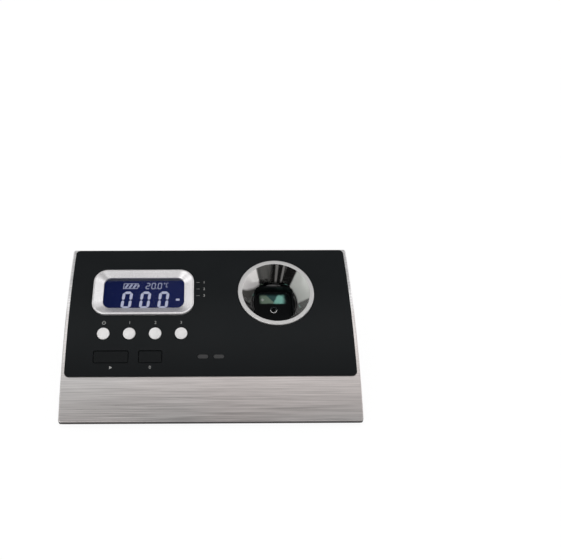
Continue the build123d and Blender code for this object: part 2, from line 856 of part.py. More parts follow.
# Polished steel sample bowl with four welded posts
bowl_points = (
    (RIM_R, RIM_LIFT),
    (RIM_R, -BOWL_FLANGE_TOP),
    (BOWL_FLANGE_R, -BOWL_FLANGE_TOP),
    (BOWL_FLANGE_R, -BOWL_FLANGE_TOP - BOWL_FLANGE_T),
    (SKIRT_R, -BOWL_FLANGE_TOP - BOWL_FLANGE_T),
    (SKIRT_R, RIM_LIFT - RIM_T),
    (SKIRT_R - RIM_STEP, RIM_LIFT - RIM_T),
    (BOWL_FLOOR_R + BOWL_SHEET, -BOWL_DEPTH - BOWL_SHEET),
    (0, -BOWL_DEPTH - BOWL_SHEET),
    (0, -BOWL_DEPTH),
    (BOWL_FLOOR_R, -BOWL_DEPTH),
    (BOWL_TOP_R, RIM_LIFT),
)
post_centres = [(side * POST_U, end * POST_V) for side in (-1, 1) for end in (-1, 1)]
with BuildPart() as sample_bowl:
    revolve(lathe_outline(BOWL_SECTION, bowl_points), axis=BOWL_AXIS)
    circles = sample_bowl.edges().filter_by(GeomType.CIRCLE)
    for circle_r, round_r in (
        (RIM_R, RIM_EDGE_R),
        (BOWL_TOP_R, RIM_INNER_R),
        (BOWL_FLOOR_R, BOWL_FOOT_R),
    ):
        edge = circles.filter_by(lambda e: math.isclose(e.radius, circle_r, abs_tol=1e-4))
        fillet(edge.sort_by(Axis(BOWL.origin, BOWL.z_dir))[-1], round_r)
    extrude(
        rounded(BOWL, WELL_CUT_DEPTH, WELL_W, WELL_D, WELL_R), amount=WELL_CUT, mode=Mode.SUBTRACT
    )
    extrude(disc(BOWL, WELL_BODY_BOTTOM, POST_R, post_centres), amount=WELL_BODY_BOTTOM - POST_TOP)
    extrude(
        disc(BOWL, WELL_BODY_BOTTOM, STAGE_PILOT_R, post_centres),
        amount=STAGE_PILOT_DEPTH,
        mode=Mode.SUBTRACT,
    )
save(sample_bowl.part, "sample_bowl")

# Rubber ring between the bowl's flange and the underside of the cover
with BuildPart() as bowl_seal:
    seal_r = BOWL_FLANGE_R - BOWL_SEAL_MARGIN
    extrude(disc(BOWL, BOWL_FLANGE_TOP - SEAT_GAP, seal_r), amount=BOWL_SEAL_BLANK)
    extrude(disc(BOWL, BOWL_FLANGE_TOP, RIM_R + BOWL_SEAL_GAP), amount=COVER_CUT, mode=Mode.SUBTRACT)
    extrude(
        side_outline(ARCH_RADIUS - SHEET - GLUE_GAP, SHEET - HALF_D, HALF_D - SHEET, 0),
        amount=HALF_W,
        both=True,
        mode=Mode.INTERSECT,
    )
save(bowl_seal.part, "bowl_seal")


def prism_seat(depth):
    """Outline of the slot that takes the prism's neck."""
    slot_w = PRISM_W + 2 * PRISM_GAP
    slot_d = PRISM_D + 2 * PRISM_GAP
    return rounded(BOWL, depth, slot_w, slot_d, PRISM_CORNER_R, (0, PRISM_V))


# Black well insert below the bowl, with window bores, prism seat and sensor hole
with BuildPart() as sample_well:
    extrude(
        rounded(BOWL, WELL_BODY_BOTTOM, WELL_BODY_W, WELL_BODY_D, WELL_BODY_R),
        amount=WELL_BODY_BOTTOM - WELL_BODY_TOP,
    )
    neck_w = WELL_W - 2 * WELL_NECK_GAP
    neck_d = WELL_D - 2 * WELL_NECK_GAP
    extrude(
        rounded(BOWL, WELL_BODY_TOP, neck_w, neck_d, WELL_R - WELL_NECK_GAP),
        amount=WELL_BODY_TOP - BOWL_DEPTH,
    )
    cavity_w = WELL_W - 2 * WELL_WALL
    cavity_d = WELL_D - 2 * WELL_WALL
    extrude(
        rounded(BOWL, WELL_FLOOR, cavity_w, cavity_d, WELL_R - WELL_WALL),
        amount=WELL_FLOOR,
        mode=Mode.SUBTRACT,
    )
    floor_face = sample_well.faces().filter_by(GeomType.PLANE).filter_by(
        lambda face: math.isclose(BOWL.to_local_coords(face.center()).Z, -WELL_FLOOR, abs_tol=0.01)
    )
    fillet(floor_face.edges(), WELL_FOOT_R)
    extrude(prism_seat(WELL_BODY_BOTTOM), amount=WELL_BODY_BOTTOM - BOWL_DEPTH, mode=Mode.SUBTRACT)
    extrude(
        disc(BOWL, WELL_BODY_BOTTOM, SENSOR_R + SENSOR_GAP, [(0, SENSOR_V)]),
        amount=WELL_BODY_BOTTOM - WELL_FLOOR + WELL_FOOT_R,
        mode=Mode.SUBTRACT,
    )
    extrude(disc(LIGHT, WELL_BODY_W, LIGHT_HOLE_R), amount=2 * WELL_BODY_W, mode=Mode.SUBTRACT)
    for side in (-1, 1):
        pocket = disc(LIGHT, -side * WELL_BODY_W / 2, WINDOW_R + WINDOW_GAP)
        extrude(pocket, amount=-side * WINDOW_POCKET, mode=Mode.SUBTRACT)
save(sample_well.part, "sample_well")

with BuildPart() as well_seal:
    seal_t = WELL_BODY_TOP - BOWL_DEPTH - BOWL_SHEET
    seal_w = WELL_BODY_W - 2 * WELL_SEAL_MARGIN
    seal_d = WELL_BODY_D - 2 * WELL_SEAL_MARGIN
    seal_corner_r = WELL_BODY_R - WELL_SEAL_MARGIN
    extrude(rounded(BOWL, WELL_BODY_TOP, seal_w, seal_d, seal_corner_r), amount=seal_t)
    opening_w = WELL_W + 2 * WELL_SEAL_GAP
    opening_d = WELL_D + 2 * WELL_SEAL_GAP
    extrude(
        rounded(BOWL, WELL_BODY_TOP, opening_w, opening_d, WELL_R), amount=seal_t, mode=Mode.SUBTRACT
    )
save(well_seal.part, "well_seal")

# Cell windows on the light path, each on a thin ring
with BuildPart() as cell_windows:
    for side in (-1, 1):
        extrude(disc(LIGHT, -side * WELL_BODY_W / 2, WINDOW_R), amount=-side * WINDOW_T)
    chamfer(cell_windows.edges().filter_by(GeomType.CIRCLE), WINDOW_CHAMFER)
save(cell_windows.part, "cell_windows")

with BuildPart() as window_seals:
    for side in (-1, 1):
        seat = WELL_BODY_W / 2 - WINDOW_POCKET
        ring_t = WINDOW_POCKET - WINDOW_T
        extrude(disc(LIGHT, -side * seat, WINDOW_R), amount=side * ring_t)
        extrude(
            disc(LIGHT, -side * seat, WINDOW_SEAL_R), amount=side * ring_t, mode=Mode.SUBTRACT
        )
save(window_seals.part, "window_seals")

# Refractometer prism: a neck flush with the well floor and a body with two slanted faces
prism_points = (
    (PRISM_W / 2, -WELL_FLOOR),
    (PRISM_W / 2, -PRISM_NECK_END),
    (PRISM_SHOULDER, -PRISM_NECK_END),
    (PRISM_SHOULDER, -PRISM_SLOPE_TOP),
    (PRISM_FOOT, -PRISM_BOTTOM),
    (-PRISM_FOOT, -PRISM_BOTTOM),
    (-PRISM_SHOULDER, -PRISM_SLOPE_TOP),
    (-PRISM_SHOULDER, -PRISM_NECK_END),
    (-PRISM_W / 2, -PRISM_NECK_END),
    (-PRISM_W / 2, -WELL_FLOOR),
)
prism_section = section_plane(BOWL).offset(-PRISM_V - PRISM_D / 2)
with BuildPart() as prism:
    extrude(lathe_outline(prism_section, prism_points), amount=PRISM_D)
save(prism.part, "prism")

with BuildPart() as prism_seal:
    seal_outline = rounded(
        BOWL, PRISM_NECK_END, PRISM_SEAL_W, PRISM_SEAL_D, WELL_FOOT_R, (0, PRISM_V)
    )
    extrude(seal_outline, amount=PRISM_SEAL_T)
    extrude(prism_seat(PRISM_NECK_END), amount=PRISM_SEAL_T, mode=Mode.SUBTRACT)
save(prism_seal.part, "prism_seal")

# Metal-rimmed temperature sensor in the well floor, in front of the prism
sensor_origin = BOWL.from_local_coords((0, SENSOR_V, 0))
SENSOR = Plane(origin=sensor_origin, x_dir=BOWL.x_dir, z_dir=BOWL.z_dir)
sensor_points = (
    (0, -SENSOR_FACE),
    (SENSOR_FACE_R, -SENSOR_FACE),
    (SENSOR_RIM_R, -SENSOR_RIM),
    (SENSOR_R, -SENSOR_RIM),
    (SENSOR_R, -SENSOR_BOTTOM),
    (0, -SENSOR_BOTTOM),
)
with BuildPart() as temperature_sensor:
    sensor_axis = Axis(SENSOR.origin, SENSOR.z_dir)
    revolve(lathe_outline(section_plane(SENSOR), sensor_points), axis=sensor_axis)
save(temperature_sensor.part, "temperature_sensor")

# Cast optical bench: plate with ears and two grooved blocks along the light path
lamp_holes = [(u, v) for u in LAMP_CAP_SCREWS for v in (-CAP_HOLE_V, CAP_HOLE_V)]
detector_holes = [(u, v) for u in DETECTOR_CAP_SCREWS for v in (-CAP_HOLE_V, CAP_HOLE_V)]
cap_holes = lamp_holes + detector_holes
with BuildPart() as optical_bench:
    extrude(rounded(BOWL, PLATE_BOTTOM, PLATE_W, PLATE_D, PLATE_R), amount=PLATE_T)
    bench_length = DETECTOR_END - LAMP_END
    bench_middle = (DETECTOR_END + LAMP_END) / 2
    beam = rounded(
        BOWL, PLATE_BOTTOM, bench_length, 2 * BLOCK_HALF_W, PLATE_R, (bench_middle, 0)
    )
    extrude(beam, amount=PLATE_T)
    for ear_u, ear_v in EAR_POINTS:
        web = rounded(
            BOWL,
            PLATE_BOTTOM,
            2 * EAR_R,
            EAR_WEB,
            EAR_R - GLUE_GAP,
            (ear_u, ear_v * EAR_WEB_SHIFT),
        )
        extrude(web, amount=PLATE_T)
    for start, end in ((LAMP_END, -BLOCK_INNER_END), (BLOCK_INNER_END, DETECTOR_END)):
        middle = ((start + end) / 2, 0)
        block = rounded(
            BOWL, WELL_BODY_BOTTOM, end - start, 2 * BLOCK_HALF_W, PLATE_R / 3, middle
        )
        extrude(block, amount=WELL_BODY_BOTTOM - AXIS_DEPTH)
    extrude(disc(LIGHT, GROOVE_REACH, GROOVE_R), amount=GROOVE_LENGTH, mode=Mode.SUBTRACT)
    extrude(disc(LIGHT, -GROOVE_REACH, GROOVE_R), amount=-GROOVE_LENGTH, mode=Mode.SUBTRACT)
    plate_opening = rounded(
        BOWL, PLATE_BOTTOM, PLATE_OPENING_W, PLATE_OPENING_D, PLATE_R / 2, (0, PLATE_OPENING_V)
    )
    extrude(plate_opening, amount=PLATE_T, mode=Mode.SUBTRACT)
    leg_centres = ((-LEG_U, PRISM_V), (LEG_U, PRISM_V))
    extrude(disc(BOWL, LEG_END, LEG_R, leg_centres), amount=LEG_END - PLATE_BOTTOM + LEG_LAP)
    extrude(
        disc(BOWL, LEG_END, PILOT_R, leg_centres), amount=SMALL_SHANK, mode=Mode.SUBTRACT
    )
    extrude(
        disc(BOWL, PLATE_BOTTOM, STAGE_CLEAR_R, post_centres), amount=PLATE_T, mode=Mode.SUBTRACT
    )
    extrude(
        disc(BOWL, PLATE_BOTTOM, STAGE_CLEAR_R, EAR_POINTS), amount=PLATE_T, mode=Mode.SUBTRACT
    )
    extrude(
        disc(BOWL, AXIS_DEPTH, CAP_PILOT_R, cap_holes),
        amount=-CAP_PILOT_DEPTH,
        mode=Mode.SUBTRACT,
    )
save(optical_bench.part, "optical_bench")

BELOW_BOWL = Plane(origin=BOWL.origin, x_dir=BOWL.x_dir, z_dir=-BOWL.z_dir)
flipped_posts = [(x, -y) for x, y in post_centres]


def stage_screw_set(plane, depth, centres):
    """The larger pan-head screws of the sample stage and the optical bench."""
    return screws(
        plane, depth, centres, STAGE_SHANK_R, STAGE_SHANK, STAGE_HEAD_R, STAGE_HEAD
    )


save(stage_screw_set(BELOW_BOWL, -PLATE_BOTTOM, flipped_posts), "stage_screws")
save(stage_screw_set(BOWL, WELL_BODY_BOTTOM, EAR_POINTS), "bench_screws")


def barrel(start, end, outer, inner=0.0):
    """Disc or ring on the light path between two places along X from the bowl's centre."""
    with BuildPart() as ring:
        extrude(disc(LIGHT, -start, outer), amount=end - start)
        if inner:
            extrude(disc(LIGHT, -start, inner), amount=end - start, mode=Mode.SUBTRACT)
    return ring.part


def bulged_lens(flat, crown, edge, radius):
    """Lens with a flat side, a straight edge and one bulged side."""
    section = Plane(origin=LIGHT.origin, x_dir=BOWL.x_dir, z_dir=-BOWL.y_dir)
    with BuildPart() as lens:
        with BuildSketch(section):
            with BuildLine():
                Polyline((crown, 0), (flat, 0), (flat, radius), (edge, radius))
                middle_r, middle_rise = dome_middle(radius, abs(crown - edge))
                toward = math.copysign(1, crown - edge)
                ThreePointArc((edge, radius), (edge + toward * middle_rise, middle_r), (crown, 0))
            make_face()
        revolve(axis=Axis(LIGHT.origin, LIGHT.z_dir))
    return lens.part


# Light path from the lamp, left of the bowl, to the detector on its right
with BuildPart() as polarimeter_lamp:
    add(barrel(LAMP_BASE, LAMP_BODY, BARREL_R))
    add(bulged_lens(LAMP_BODY, LAMP_CROWN, LAMP_SHOULDER, LAMP_BODY_R))
save(polarimeter_lamp.part, "polarimeter_lamp")
collimator = bulged_lens(COLLIMATOR_FLAT, COLLIMATOR_CROWN, COLLIMATOR_EDGE, BARREL_R)
save(collimator, "collimator_lens")
save(barrel(FILTER_START, FILTER_END, BARREL_R), "interference_filter")
save(barrel(POLARISER_START, POLARISER_END, BARREL_R), "polariser")
save(barrel(MODULATOR_START, MODULATOR_END, ROD_R), "modulator_rod")

with BuildPart() as modulator_bobbin:
    bore_r = ROD_R + GLUE_GAP
    flange_in = MODULATOR_START + BOBBIN_FLANGE
    flange_out = MODULATOR_END - BOBBIN_FLANGE
    add(barrel(MODULATOR_START, MODULATOR_END, BOBBIN_R, bore_r))
    add(barrel(MODULATOR_START, flange_in, BARREL_R, bore_r))
    add(barrel(flange_out, MODULATOR_END, BARREL_R, bore_r))
save(modulator_bobbin.part, "modulator_bobbin")
winding = barrel(
    flange_in + WINDING_GAP, flange_out - WINDING_GAP, WINDING_R, BOBBIN_R + WINDING_GAP
)
save(winding, "modulator_winding")
save(barrel(ANALYSER_START, ANALYSER_END, BARREL_R), "analyser")
second_lens = bulged_lens(DETECTOR_LENS_FLAT, DETECTOR_LENS_CROWN, DETECTOR_LENS_EDGE, BARREL_R)
save(second_lens, "detector_lens")

with BuildPart() as polarimeter_detector:
    add(barrel(DETECTOR_FLANGE, DETECTOR_BACK, BARREL_R))
    add(barrel(DETECTOR_START, DETECTOR_FLANGE, DETECTOR_R))
    rings = polarimeter_detector.edges().filter_by(GeomType.CIRCLE)
    chamfer(rings.sort_by(Axis.X)[0], DETECTOR_CHAMFER)
save(polarimeter_detector.part, "polarimeter_detector")


def tube_cap(start, end, holes):
    """Pressed cap closing the light path from above, with two flanges."""
    with BuildPart() as cap:
        with BuildSketch(LIGHT.offset(start)):
            Circle(GROOVE_R + CAP_T)
            with Locations((0, CAP_T / 2)):
                Rectangle(2 * BLOCK_HALF_W, CAP_T)
            Circle(GROOVE_R, mode=Mode.SUBTRACT)
            with Locations((0, -BLOCK_HALF_W)):
                Rectangle(4 * BLOCK_HALF_W, 2 * BLOCK_HALF_W, mode=Mode.SUBTRACT)
        extrude(amount=end - start)
        extrude(disc(BOWL, AXIS_DEPTH, CAP_CLEAR_R, holes), amount=CAP_T, mode=Mode.SUBTRACT)
    return cap.part


save(tube_cap(LAMP_END, -CAP_INNER_END, lamp_holes), "lamp_tube_cap")
save(tube_cap(CAP_INNER_END, DETECTOR_END, detector_holes), "detector_tube_cap")

# Refractometer lamp, lens and line sensor look at the prism's slanted faces
slope = math.sqrt(0.5)
face_u = (PRISM_SHOULDER + PRISM_FOOT) / 2
face_w = -(PRISM_SLOPE_TOP + PRISM_BOTTOM) / 2


def slanted(side, reach):
    """Plane square to a slanted prism face, at a reach from the face's middle."""
    u = side * (face_u + reach * slope)
    w = face_w - reach * slope
    origin = BOWL.from_local_coords((u, PRISM_V, w))
    toward = BOWL.from_local_coords((side * face_u, PRISM_V, face_w)) - origin
    return Plane(origin=origin, x_dir=BOWL.y_dir, z_dir=toward)


with BuildPart() as refractometer_lamp:
    lamp_seat = slanted(-1, PRISM_LAMP_REACH)
    extrude(disc(lamp_seat, 0, PRISM_LAMP_FLANGE_R), amount=PRISM_LAMP_FLANGE_T)
    extrude(disc(lamp_seat, 0, PRISM_LAMP_R), amount=PRISM_LAMP_LENGTH)
    far_edge = refractometer_lamp.edges().filter_by(GeomType.CIRCLE).sort_by(
        Axis(lamp_seat.origin, lamp_seat.z_dir)
    )[-1]
    fillet(far_edge, PRISM_LAMP_DOME)
save(refractometer_lamp.part, "refractometer_lamp")

with BuildPart() as refractometer_lens:
    extrude(disc(slanted(1, PRISM_LENS_REACH), 0, PRISM_LENS_R), amount=PRISM_LENS_T)
    chamfer(refractometer_lens.edges().filter_by(GeomType.CIRCLE), PRISM_LENS_CHAMFER)
save(refractometer_lens.part, "refractometer_lens")

with BuildPart() as line_sensor:
    chip_face = slanted(1, LINE_SENSOR_REACH)
    chip_outline = rounded(chip_face, 0, LINE_SENSOR_W, LINE_SENSOR_D, PRISM_CORNER_R)
    extrude(chip_outline, amount=LINE_SENSOR_T)
save(line_sensor.part, "line_sensor")

with BuildPart() as sensor_board:
    sensor_outline = rounded(
        BOWL, SENSOR_BOARD_BOTTOM, SENSOR_BOARD_W, SENSOR_BOARD_D, SENSOR_BOARD_R, (0, PRISM_V)
    )
    extrude(sensor_outline, amount=SENSOR_BOARD_T)
    extrude(
        disc(BOWL, SENSOR_BOARD_BOTTOM, CLEAR_R, leg_centres),
        amount=SENSOR_BOARD_T,
        mode=Mode.SUBTRACT,
    )
save(sensor_board.part, "sensor_board")
flipped_legs = [(x, -y) for x, y in leg_centres]

# Small screws: display holder, key board, light path caps and sensor board
with BuildPart() as inner_screws:
    add(small_screws(BELOW_DISPLAY, -HOLDER_EAR_BOTTOM, flipped_ears))
    add(small_screws(BELOW_KEYS, -BOARD_TOP - BOARD_T, flipped_screws))
    add(small_screws(BOWL, AXIS_DEPTH - CAP_T, cap_holes))
    add(small_screws(BELOW_BOWL, -SENSOR_BOARD_BOTTOM, flipped_legs))
save(inner_screws.part, "inner_screws")

# Spring clip holding the prism up against its seal
with BuildPart() as prism_clip:
    side_view = Plane(origin=BOWL.origin, x_dir=BOWL.y_dir, z_dir=BOWL.x_dir)
    plate_level = -PLATE_BOTTOM - CLIP_T / 2 - SEAT_GAP
    prism_level = -PRISM_BOTTOM - CLIP_T / 2 - CLIP_GAP
    with BuildSketch(side_view.offset(-CLIP_W / 2)):
        with BuildLine():
            Polyline(
                (-9.5, plate_level),
                (-4.5, plate_level),
                (1.5, prism_level),
                (13.0, prism_level),
                (14.5, plate_level),
                (17.5, plate_level),
            )
        trace(line_width=CLIP_T)
    extrude(amount=CLIP_W)
save(prism_clip.part, "prism_clip")

# Base tray: thin edge under the cover, floor, locating rib, bosses and the battery bay
with BuildPart() as base_tray:
    rib_w = WIDTH - 2 * (SHEET + RIB_GAP)
    rib_d = DEPTH - 2 * (SHEET + RIB_GAP)
    extrude(rounded(Plane.XY, -TRAY_BOTTOM, rib_w, rib_d, RIB_T), amount=RIB_HEIGHT)
    extrude(
        rounded(Plane.XY, -FLOOR_TOP, rib_w - 2 * RIB_T, rib_d - 2 * RIB_T, RIB_T),
        amount=RIB_HEIGHT,
        mode=Mode.SUBTRACT,
    )
    for side in (-1, 1):
        for middle in BRACKET_Y:
            notch = rounded(
                Plane.XY,
                -FLOOR_TOP,
                HALF_W - BRACKET_X + 2 * BRACKET_FOOT,
                BRACKET_LEN + 2 * RIB_GAP,
                RIB_GAP,
                (side * BRACKET_X, middle),
            )
            extrude(notch, amount=RIB_HEIGHT, mode=Mode.SUBTRACT)
    bay_x = (BAY_X0 + BAY_X1) / 2
    bay_y = (BAY_Y0 + BAY_Y1) / 2
    bay_w = BAY_X1 - BAY_X0
    bay_d = BAY_Y1 - BAY_Y0
    walls = 2 * BAY_WALL
    extrude(
        rounded(Plane.XY, -FLOOR_TOP, bay_w + walls, bay_d + walls, BAY_WALL, (bay_x, bay_y)),
        amount=BAY_TOP + BAY_WALL - FLOOR_TOP,
    )
    ear_spots = [BOWL.from_local_coords((u, v, -PLATE_BOTTOM)) for u, v in EAR_POINTS]
    boss_places = [(spot.X, spot.Y) for spot in ear_spots]
    extrude(disc(Plane.XY, -FLOOR_TOP, BOSS_R, boss_places), amount=BOSS_BLANK)
    above_plate = rounded(BOWL, PLATE_BOTTOM + SEAT_GAP, HALF_W + HALF_D, DEPTH, RIB_T)
    extrude(above_plate, amount=BOSS_BLANK, mode=Mode.SUBTRACT)
    reach_in = SHEET + INNER_MARGIN
    extrude(
        side_outline(ARCH_RADIUS - reach_in, reach_in - HALF_D, HALF_D - reach_in, 0),
        amount=HALF_W - reach_in,
        both=True,
        mode=Mode.INTERSECT,
    )
    board_spots = [(side * BOARD_HOLES_X, y) for side in (-1, 1) for y in BOARD_HOLES_Y]
    extrude(disc(Plane.XY, -FLOOR_TOP, BOARD_BOSS_R, board_spots), amount=BOARD_Z - FLOOR_TOP)
    extrude(
        disc(Plane.XY, -FLOOR_TOP, CLEAR_R, board_spots),
        amount=BOARD_Z - FLOOR_TOP,
        mode=Mode.SUBTRACT,
    )
    edge_w = WIDTH - 2 * TRAY_INSET
    edge_d = DEPTH - 2 * TRAY_INSET
    extrude(
        rounded(Plane.XY, -TRAY_BOTTOM, edge_w, edge_d, TRAY_CORNER_R),
        amount=TRAY_EDGE_T - SEAT_GAP,
    )
    extrude(
        rounded(Plane.XY, -COVER_BOTTOM, bay_w, bay_d, BAY_WALL, (bay_x, bay_y)),
        amount=BAY_TOP - COVER_BOTTOM,
        mode=Mode.SUBTRACT,
    )
    door_x = (DOOR_X0 + DOOR_X1) / 2
    door_w = DOOR_X1 - DOOR_X0
    slot_y0 = DOOR_Y0 - 2 * DOOR_GAP
    slot_d = HALF_D - slot_y0
    slot_centre = (door_x, slot_y0 + slot_d / 2)
    with BuildSketch(Plane.XY):
        with Locations(slot_centre):
            Rectangle(door_w + 2 * DOOR_GAP, slot_d)
    extrude(amount=COVER_BOTTOM, mode=Mode.SUBTRACT)
    with BuildSketch(Plane.XY.offset(TONGUE_BOTTOM - DOOR_GAP)):
        with Locations(slot_centre):
            Rectangle(door_w + 2 * TONGUE_W + 2 * DOOR_GAP, slot_d)
    extrude(amount=COVER_BOTTOM - TONGUE_BOTTOM + DOOR_GAP, mode=Mode.SUBTRACT)
    foot_spots = [(side * FOOT_X, end * FOOT_Y) for side in (-1, 1) for end in (-1, 1)]
    extrude(
        disc(Plane.XY, -TRAY_BOTTOM, FOOT_R + FOOT_GAP, foot_spots),
        amount=FOOT_RECESS,
        mode=Mode.SUBTRACT,
    )
    extrude(
        disc(Plane.XY, -TRAY_BOTTOM, HEAD_RECESS_R, bracket_points),
        amount=HEAD_RECESS,
        mode=Mode.SUBTRACT,
    )
    extrude(
        disc(Plane.XY, -TRAY_BOTTOM, STAGE_CLEAR_R, bracket_points),
        amount=TRAY_FLOOR_T,
        mode=Mode.SUBTRACT,
    )
    extrude(
        disc(BOWL, PLATE_BOTTOM, STAGE_PILOT_R, EAR_POINTS),
        amount=PLATE_T - STAGE_SHANK - 2 * SHEET / 5,
        mode=Mode.SUBTRACT,
    )
save(base_tray.part, "base_tray")

head_seat = TRAY_BOTTOM + HEAD_RECESS
flipped_points = [(x, -y) for x, y in bracket_points]
base_set = screws(
    UNDERSIDE, head_seat, flipped_points, STAGE_SHANK_R, BASE_SHANK, BASE_HEAD_R, BASE_HEAD
)
save(base_set, "base_screws")
save(small_screws(Plane.XY, -BOARD_Z - MAIN_BOARD_T, board_spots), "board_screws")

with BuildPart() as rubber_feet:
    extrude(disc(Plane.XY, 0, FOOT_R, foot_spots), amount=TRAY_BOTTOM + FOOT_RECESS - SEAT_GAP)
    soles = rubber_feet.edges().filter_by(GeomType.CIRCLE).group_by(Axis.Z)[0]
    chamfer(soles, FOOT_CHAMFER)
save(rubber_feet.part, "rubber_feet")

# Battery door: tongues at both sides run in the tray's grooves, finger ribs underneath
with BuildPart() as battery_door:
    door_d = HALF_D - TRAY_INSET - DOOR_Y0
    door_centre = (door_x, DOOR_Y0 + door_d / 2)
    with BuildSketch(Plane.XY.offset(TRAY_BOTTOM)):
        with Locations(door_centre):
            Rectangle(door_w, door_d)
    extrude(amount=DOOR_T)
    with BuildSketch(Plane.XY.offset(TONGUE_BOTTOM)):
        with Locations(door_centre):
            Rectangle(door_w + 2 * TONGUE_W, door_d)
    extrude(amount=TRAY_BOTTOM + DOOR_T - TONGUE_BOTTOM)
    grip_y = DOOR_Y0 + door_d - GRIP_FROM_EDGE
    with BuildSketch(Plane.XY.offset(TRAY_BOTTOM)):
        with Locations((door_x, grip_y)):
            SlotOverall(GRIP_W, GRIP_D)
    extrude(amount=GRIP_DEPTH, mode=Mode.SUBTRACT)
    with BuildSketch(Plane.XY.offset(TRAY_BOTTOM)):
        with Locations((door_x, grip_y)):
            with GridLocations(0, GRIP_RIB_PITCH, 1, 3):
                SlotOverall(GRIP_RIB_W, GRIP_RIB_D)
    extrude(amount=GRIP_DEPTH + LEAF_T)
save(battery_door.part, "battery_door")

# Two cells side by side, the second one turned round
with BuildPart() as battery_cells:
    for cell_y, nub_left in zip(CELL_Y, (False, True)):
        cell_end = CELL_START + (NUB if nub_left else 0)
        case = Plane(origin=(cell_end, cell_y, CELL_Z), x_dir=(0, 1, 0), z_dir=(1, 0, 0))
        extrude(disc(case, 0, CELL_R), amount=CELL_LENGTH - NUB)
        nub_start = -NUB if nub_left else CELL_LENGTH - NUB
        extrude(disc(case, -nub_start, NUB_R), amount=NUB)
    chamfer(
        battery_cells.edges().filter_by(GeomType.CIRCLE).filter_by(
            lambda edge: math.isclose(edge.radius, CELL_R)
        ),
        CELL_CHAMFER,
    )
save(battery_cells.part, "battery_cells")

# Leaf contacts at both ends of the bay
with BuildPart() as battery_contacts:
    for side, wall_x, cell_x in (
        (1, BAY_X0, CELL_START),
        (-1, BAY_X1, CELL_START + CELL_LENGTH),
    ):
        gap = abs(cell_x - wall_x) - LEAF_T / 2 - GLUE_GAP
        for cell_y in CELL_Y:
            with BuildSketch(Plane.XZ.offset(-cell_y - LEAF_W / 2)):
                with BuildLine():
                    Polyline(
                        (wall_x + side * (LEAF_T / 2 + SEAT_GAP), CELL_Z - 6),
                        (wall_x + side * (LEAF_T / 2 + SEAT_GAP), CELL_Z + 6),
                        (wall_x + side * gap, CELL_Z + 0.5),
                        (wall_x + side * 3 * LEAF_T, CELL_Z - 4),
                    )
                trace(line_width=LEAF_T)
            extrude(amount=LEAF_W)
save(battery_contacts.part, "battery_contacts")

# Main board with its parts, in the low front of the case
with BuildPart() as main_board:
    board_d = MAIN_BOARD_Y1 - MAIN_BOARD_Y0
    board_y = (MAIN_BOARD_Y0 + MAIN_BOARD_Y1) / 2
    extrude(
        rounded(Plane.XY, -BOARD_Z - SEAT_GAP, 2 * MAIN_BOARD_X, board_d, RIB_T, (0, board_y)),
        amount=MAIN_BOARD_T - 2 * SEAT_GAP,
    )
    extrude(
        disc(Plane.XY, -BOARD_Z, BOARD_CLEAR_R, board_spots),
        amount=MAIN_BOARD_T,
        mode=Mode.SUBTRACT,
    )
save(main_board.part, "main_board")

chip_z = BOARD_Z + MAIN_BOARD_T
with BuildPart() as board_parts:
    for centre, chip_w, chip_d, chip_h in (
        ((2, -22), 12, 12, 1.4),
        ((24, -17), 9, 7, 1.2),
        ((24, -29), 9, 7, 1.2),
        ((-20, -24), 7, 5, 1.4),
        ((-40, -8.6), 24, 4.6, 3.2),
        ((44, -9), 16, 5, 4.0),
    ):
        chip = rounded(Plane.XY, -chip_z, chip_w, chip_d, PRISM_CORNER_R, centre)
        extrude(chip, amount=chip_h)
    capacitor_spots = ((52, -26), (44, -26), (-52, -28), (-44, -28))
    extrude(disc(Plane.XY, -chip_z, CAPACITOR_R, capacitor_spots), amount=CAPACITOR_HEIGHT)
save(board_parts.part, "board_parts")

# Flat cable from the display down to its socket on the main board
with BuildPart() as display_flex:
    cable_level = -backlight_bottom - CABLE_T
    cable_start = DISPLAY.from_local_coords((0, 1, cable_level))
    cable_turn = DISPLAY.from_local_coords((0, -5, cable_level))
    with BuildSketch(Plane.YZ.offset(CABLE_X)):
        with BuildLine():
            FilletPolyline(
                (cable_start.Y, cable_start.Z),
                (cable_turn.Y, cable_turn.Z),
                (15.6, 22.9),
                (4.4, 21.2),
                (2.6, 14.0),
                (-8.0, chip_z + 3.5),
                radius=CABLE_BEND_R,
            )
        trace(line_width=CABLE_T)
    extrude(amount=CABLE_W)
save(display_flex.part, "display_flex")
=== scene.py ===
import json
import math

import bmesh
import bpy
from mathutils import Euler, Matrix, Vector


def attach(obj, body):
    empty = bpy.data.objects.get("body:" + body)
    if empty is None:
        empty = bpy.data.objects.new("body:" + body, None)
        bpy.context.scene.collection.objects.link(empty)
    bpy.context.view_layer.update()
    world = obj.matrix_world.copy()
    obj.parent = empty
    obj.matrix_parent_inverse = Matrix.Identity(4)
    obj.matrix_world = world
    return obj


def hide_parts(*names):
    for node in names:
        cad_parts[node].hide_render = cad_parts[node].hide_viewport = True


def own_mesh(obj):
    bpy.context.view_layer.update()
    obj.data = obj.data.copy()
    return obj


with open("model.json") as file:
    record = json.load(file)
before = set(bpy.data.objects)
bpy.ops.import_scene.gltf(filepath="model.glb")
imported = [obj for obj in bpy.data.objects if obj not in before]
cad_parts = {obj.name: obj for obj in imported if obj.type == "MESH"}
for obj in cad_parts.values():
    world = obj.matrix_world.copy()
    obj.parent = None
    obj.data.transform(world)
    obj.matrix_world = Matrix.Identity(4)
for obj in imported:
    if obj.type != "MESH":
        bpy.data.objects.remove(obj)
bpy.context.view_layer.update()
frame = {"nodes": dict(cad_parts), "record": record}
scene = bpy.context.scene

# Sizes are in millimetres and degrees where nothing else is said; MM makes metres of them
MM = 0.001

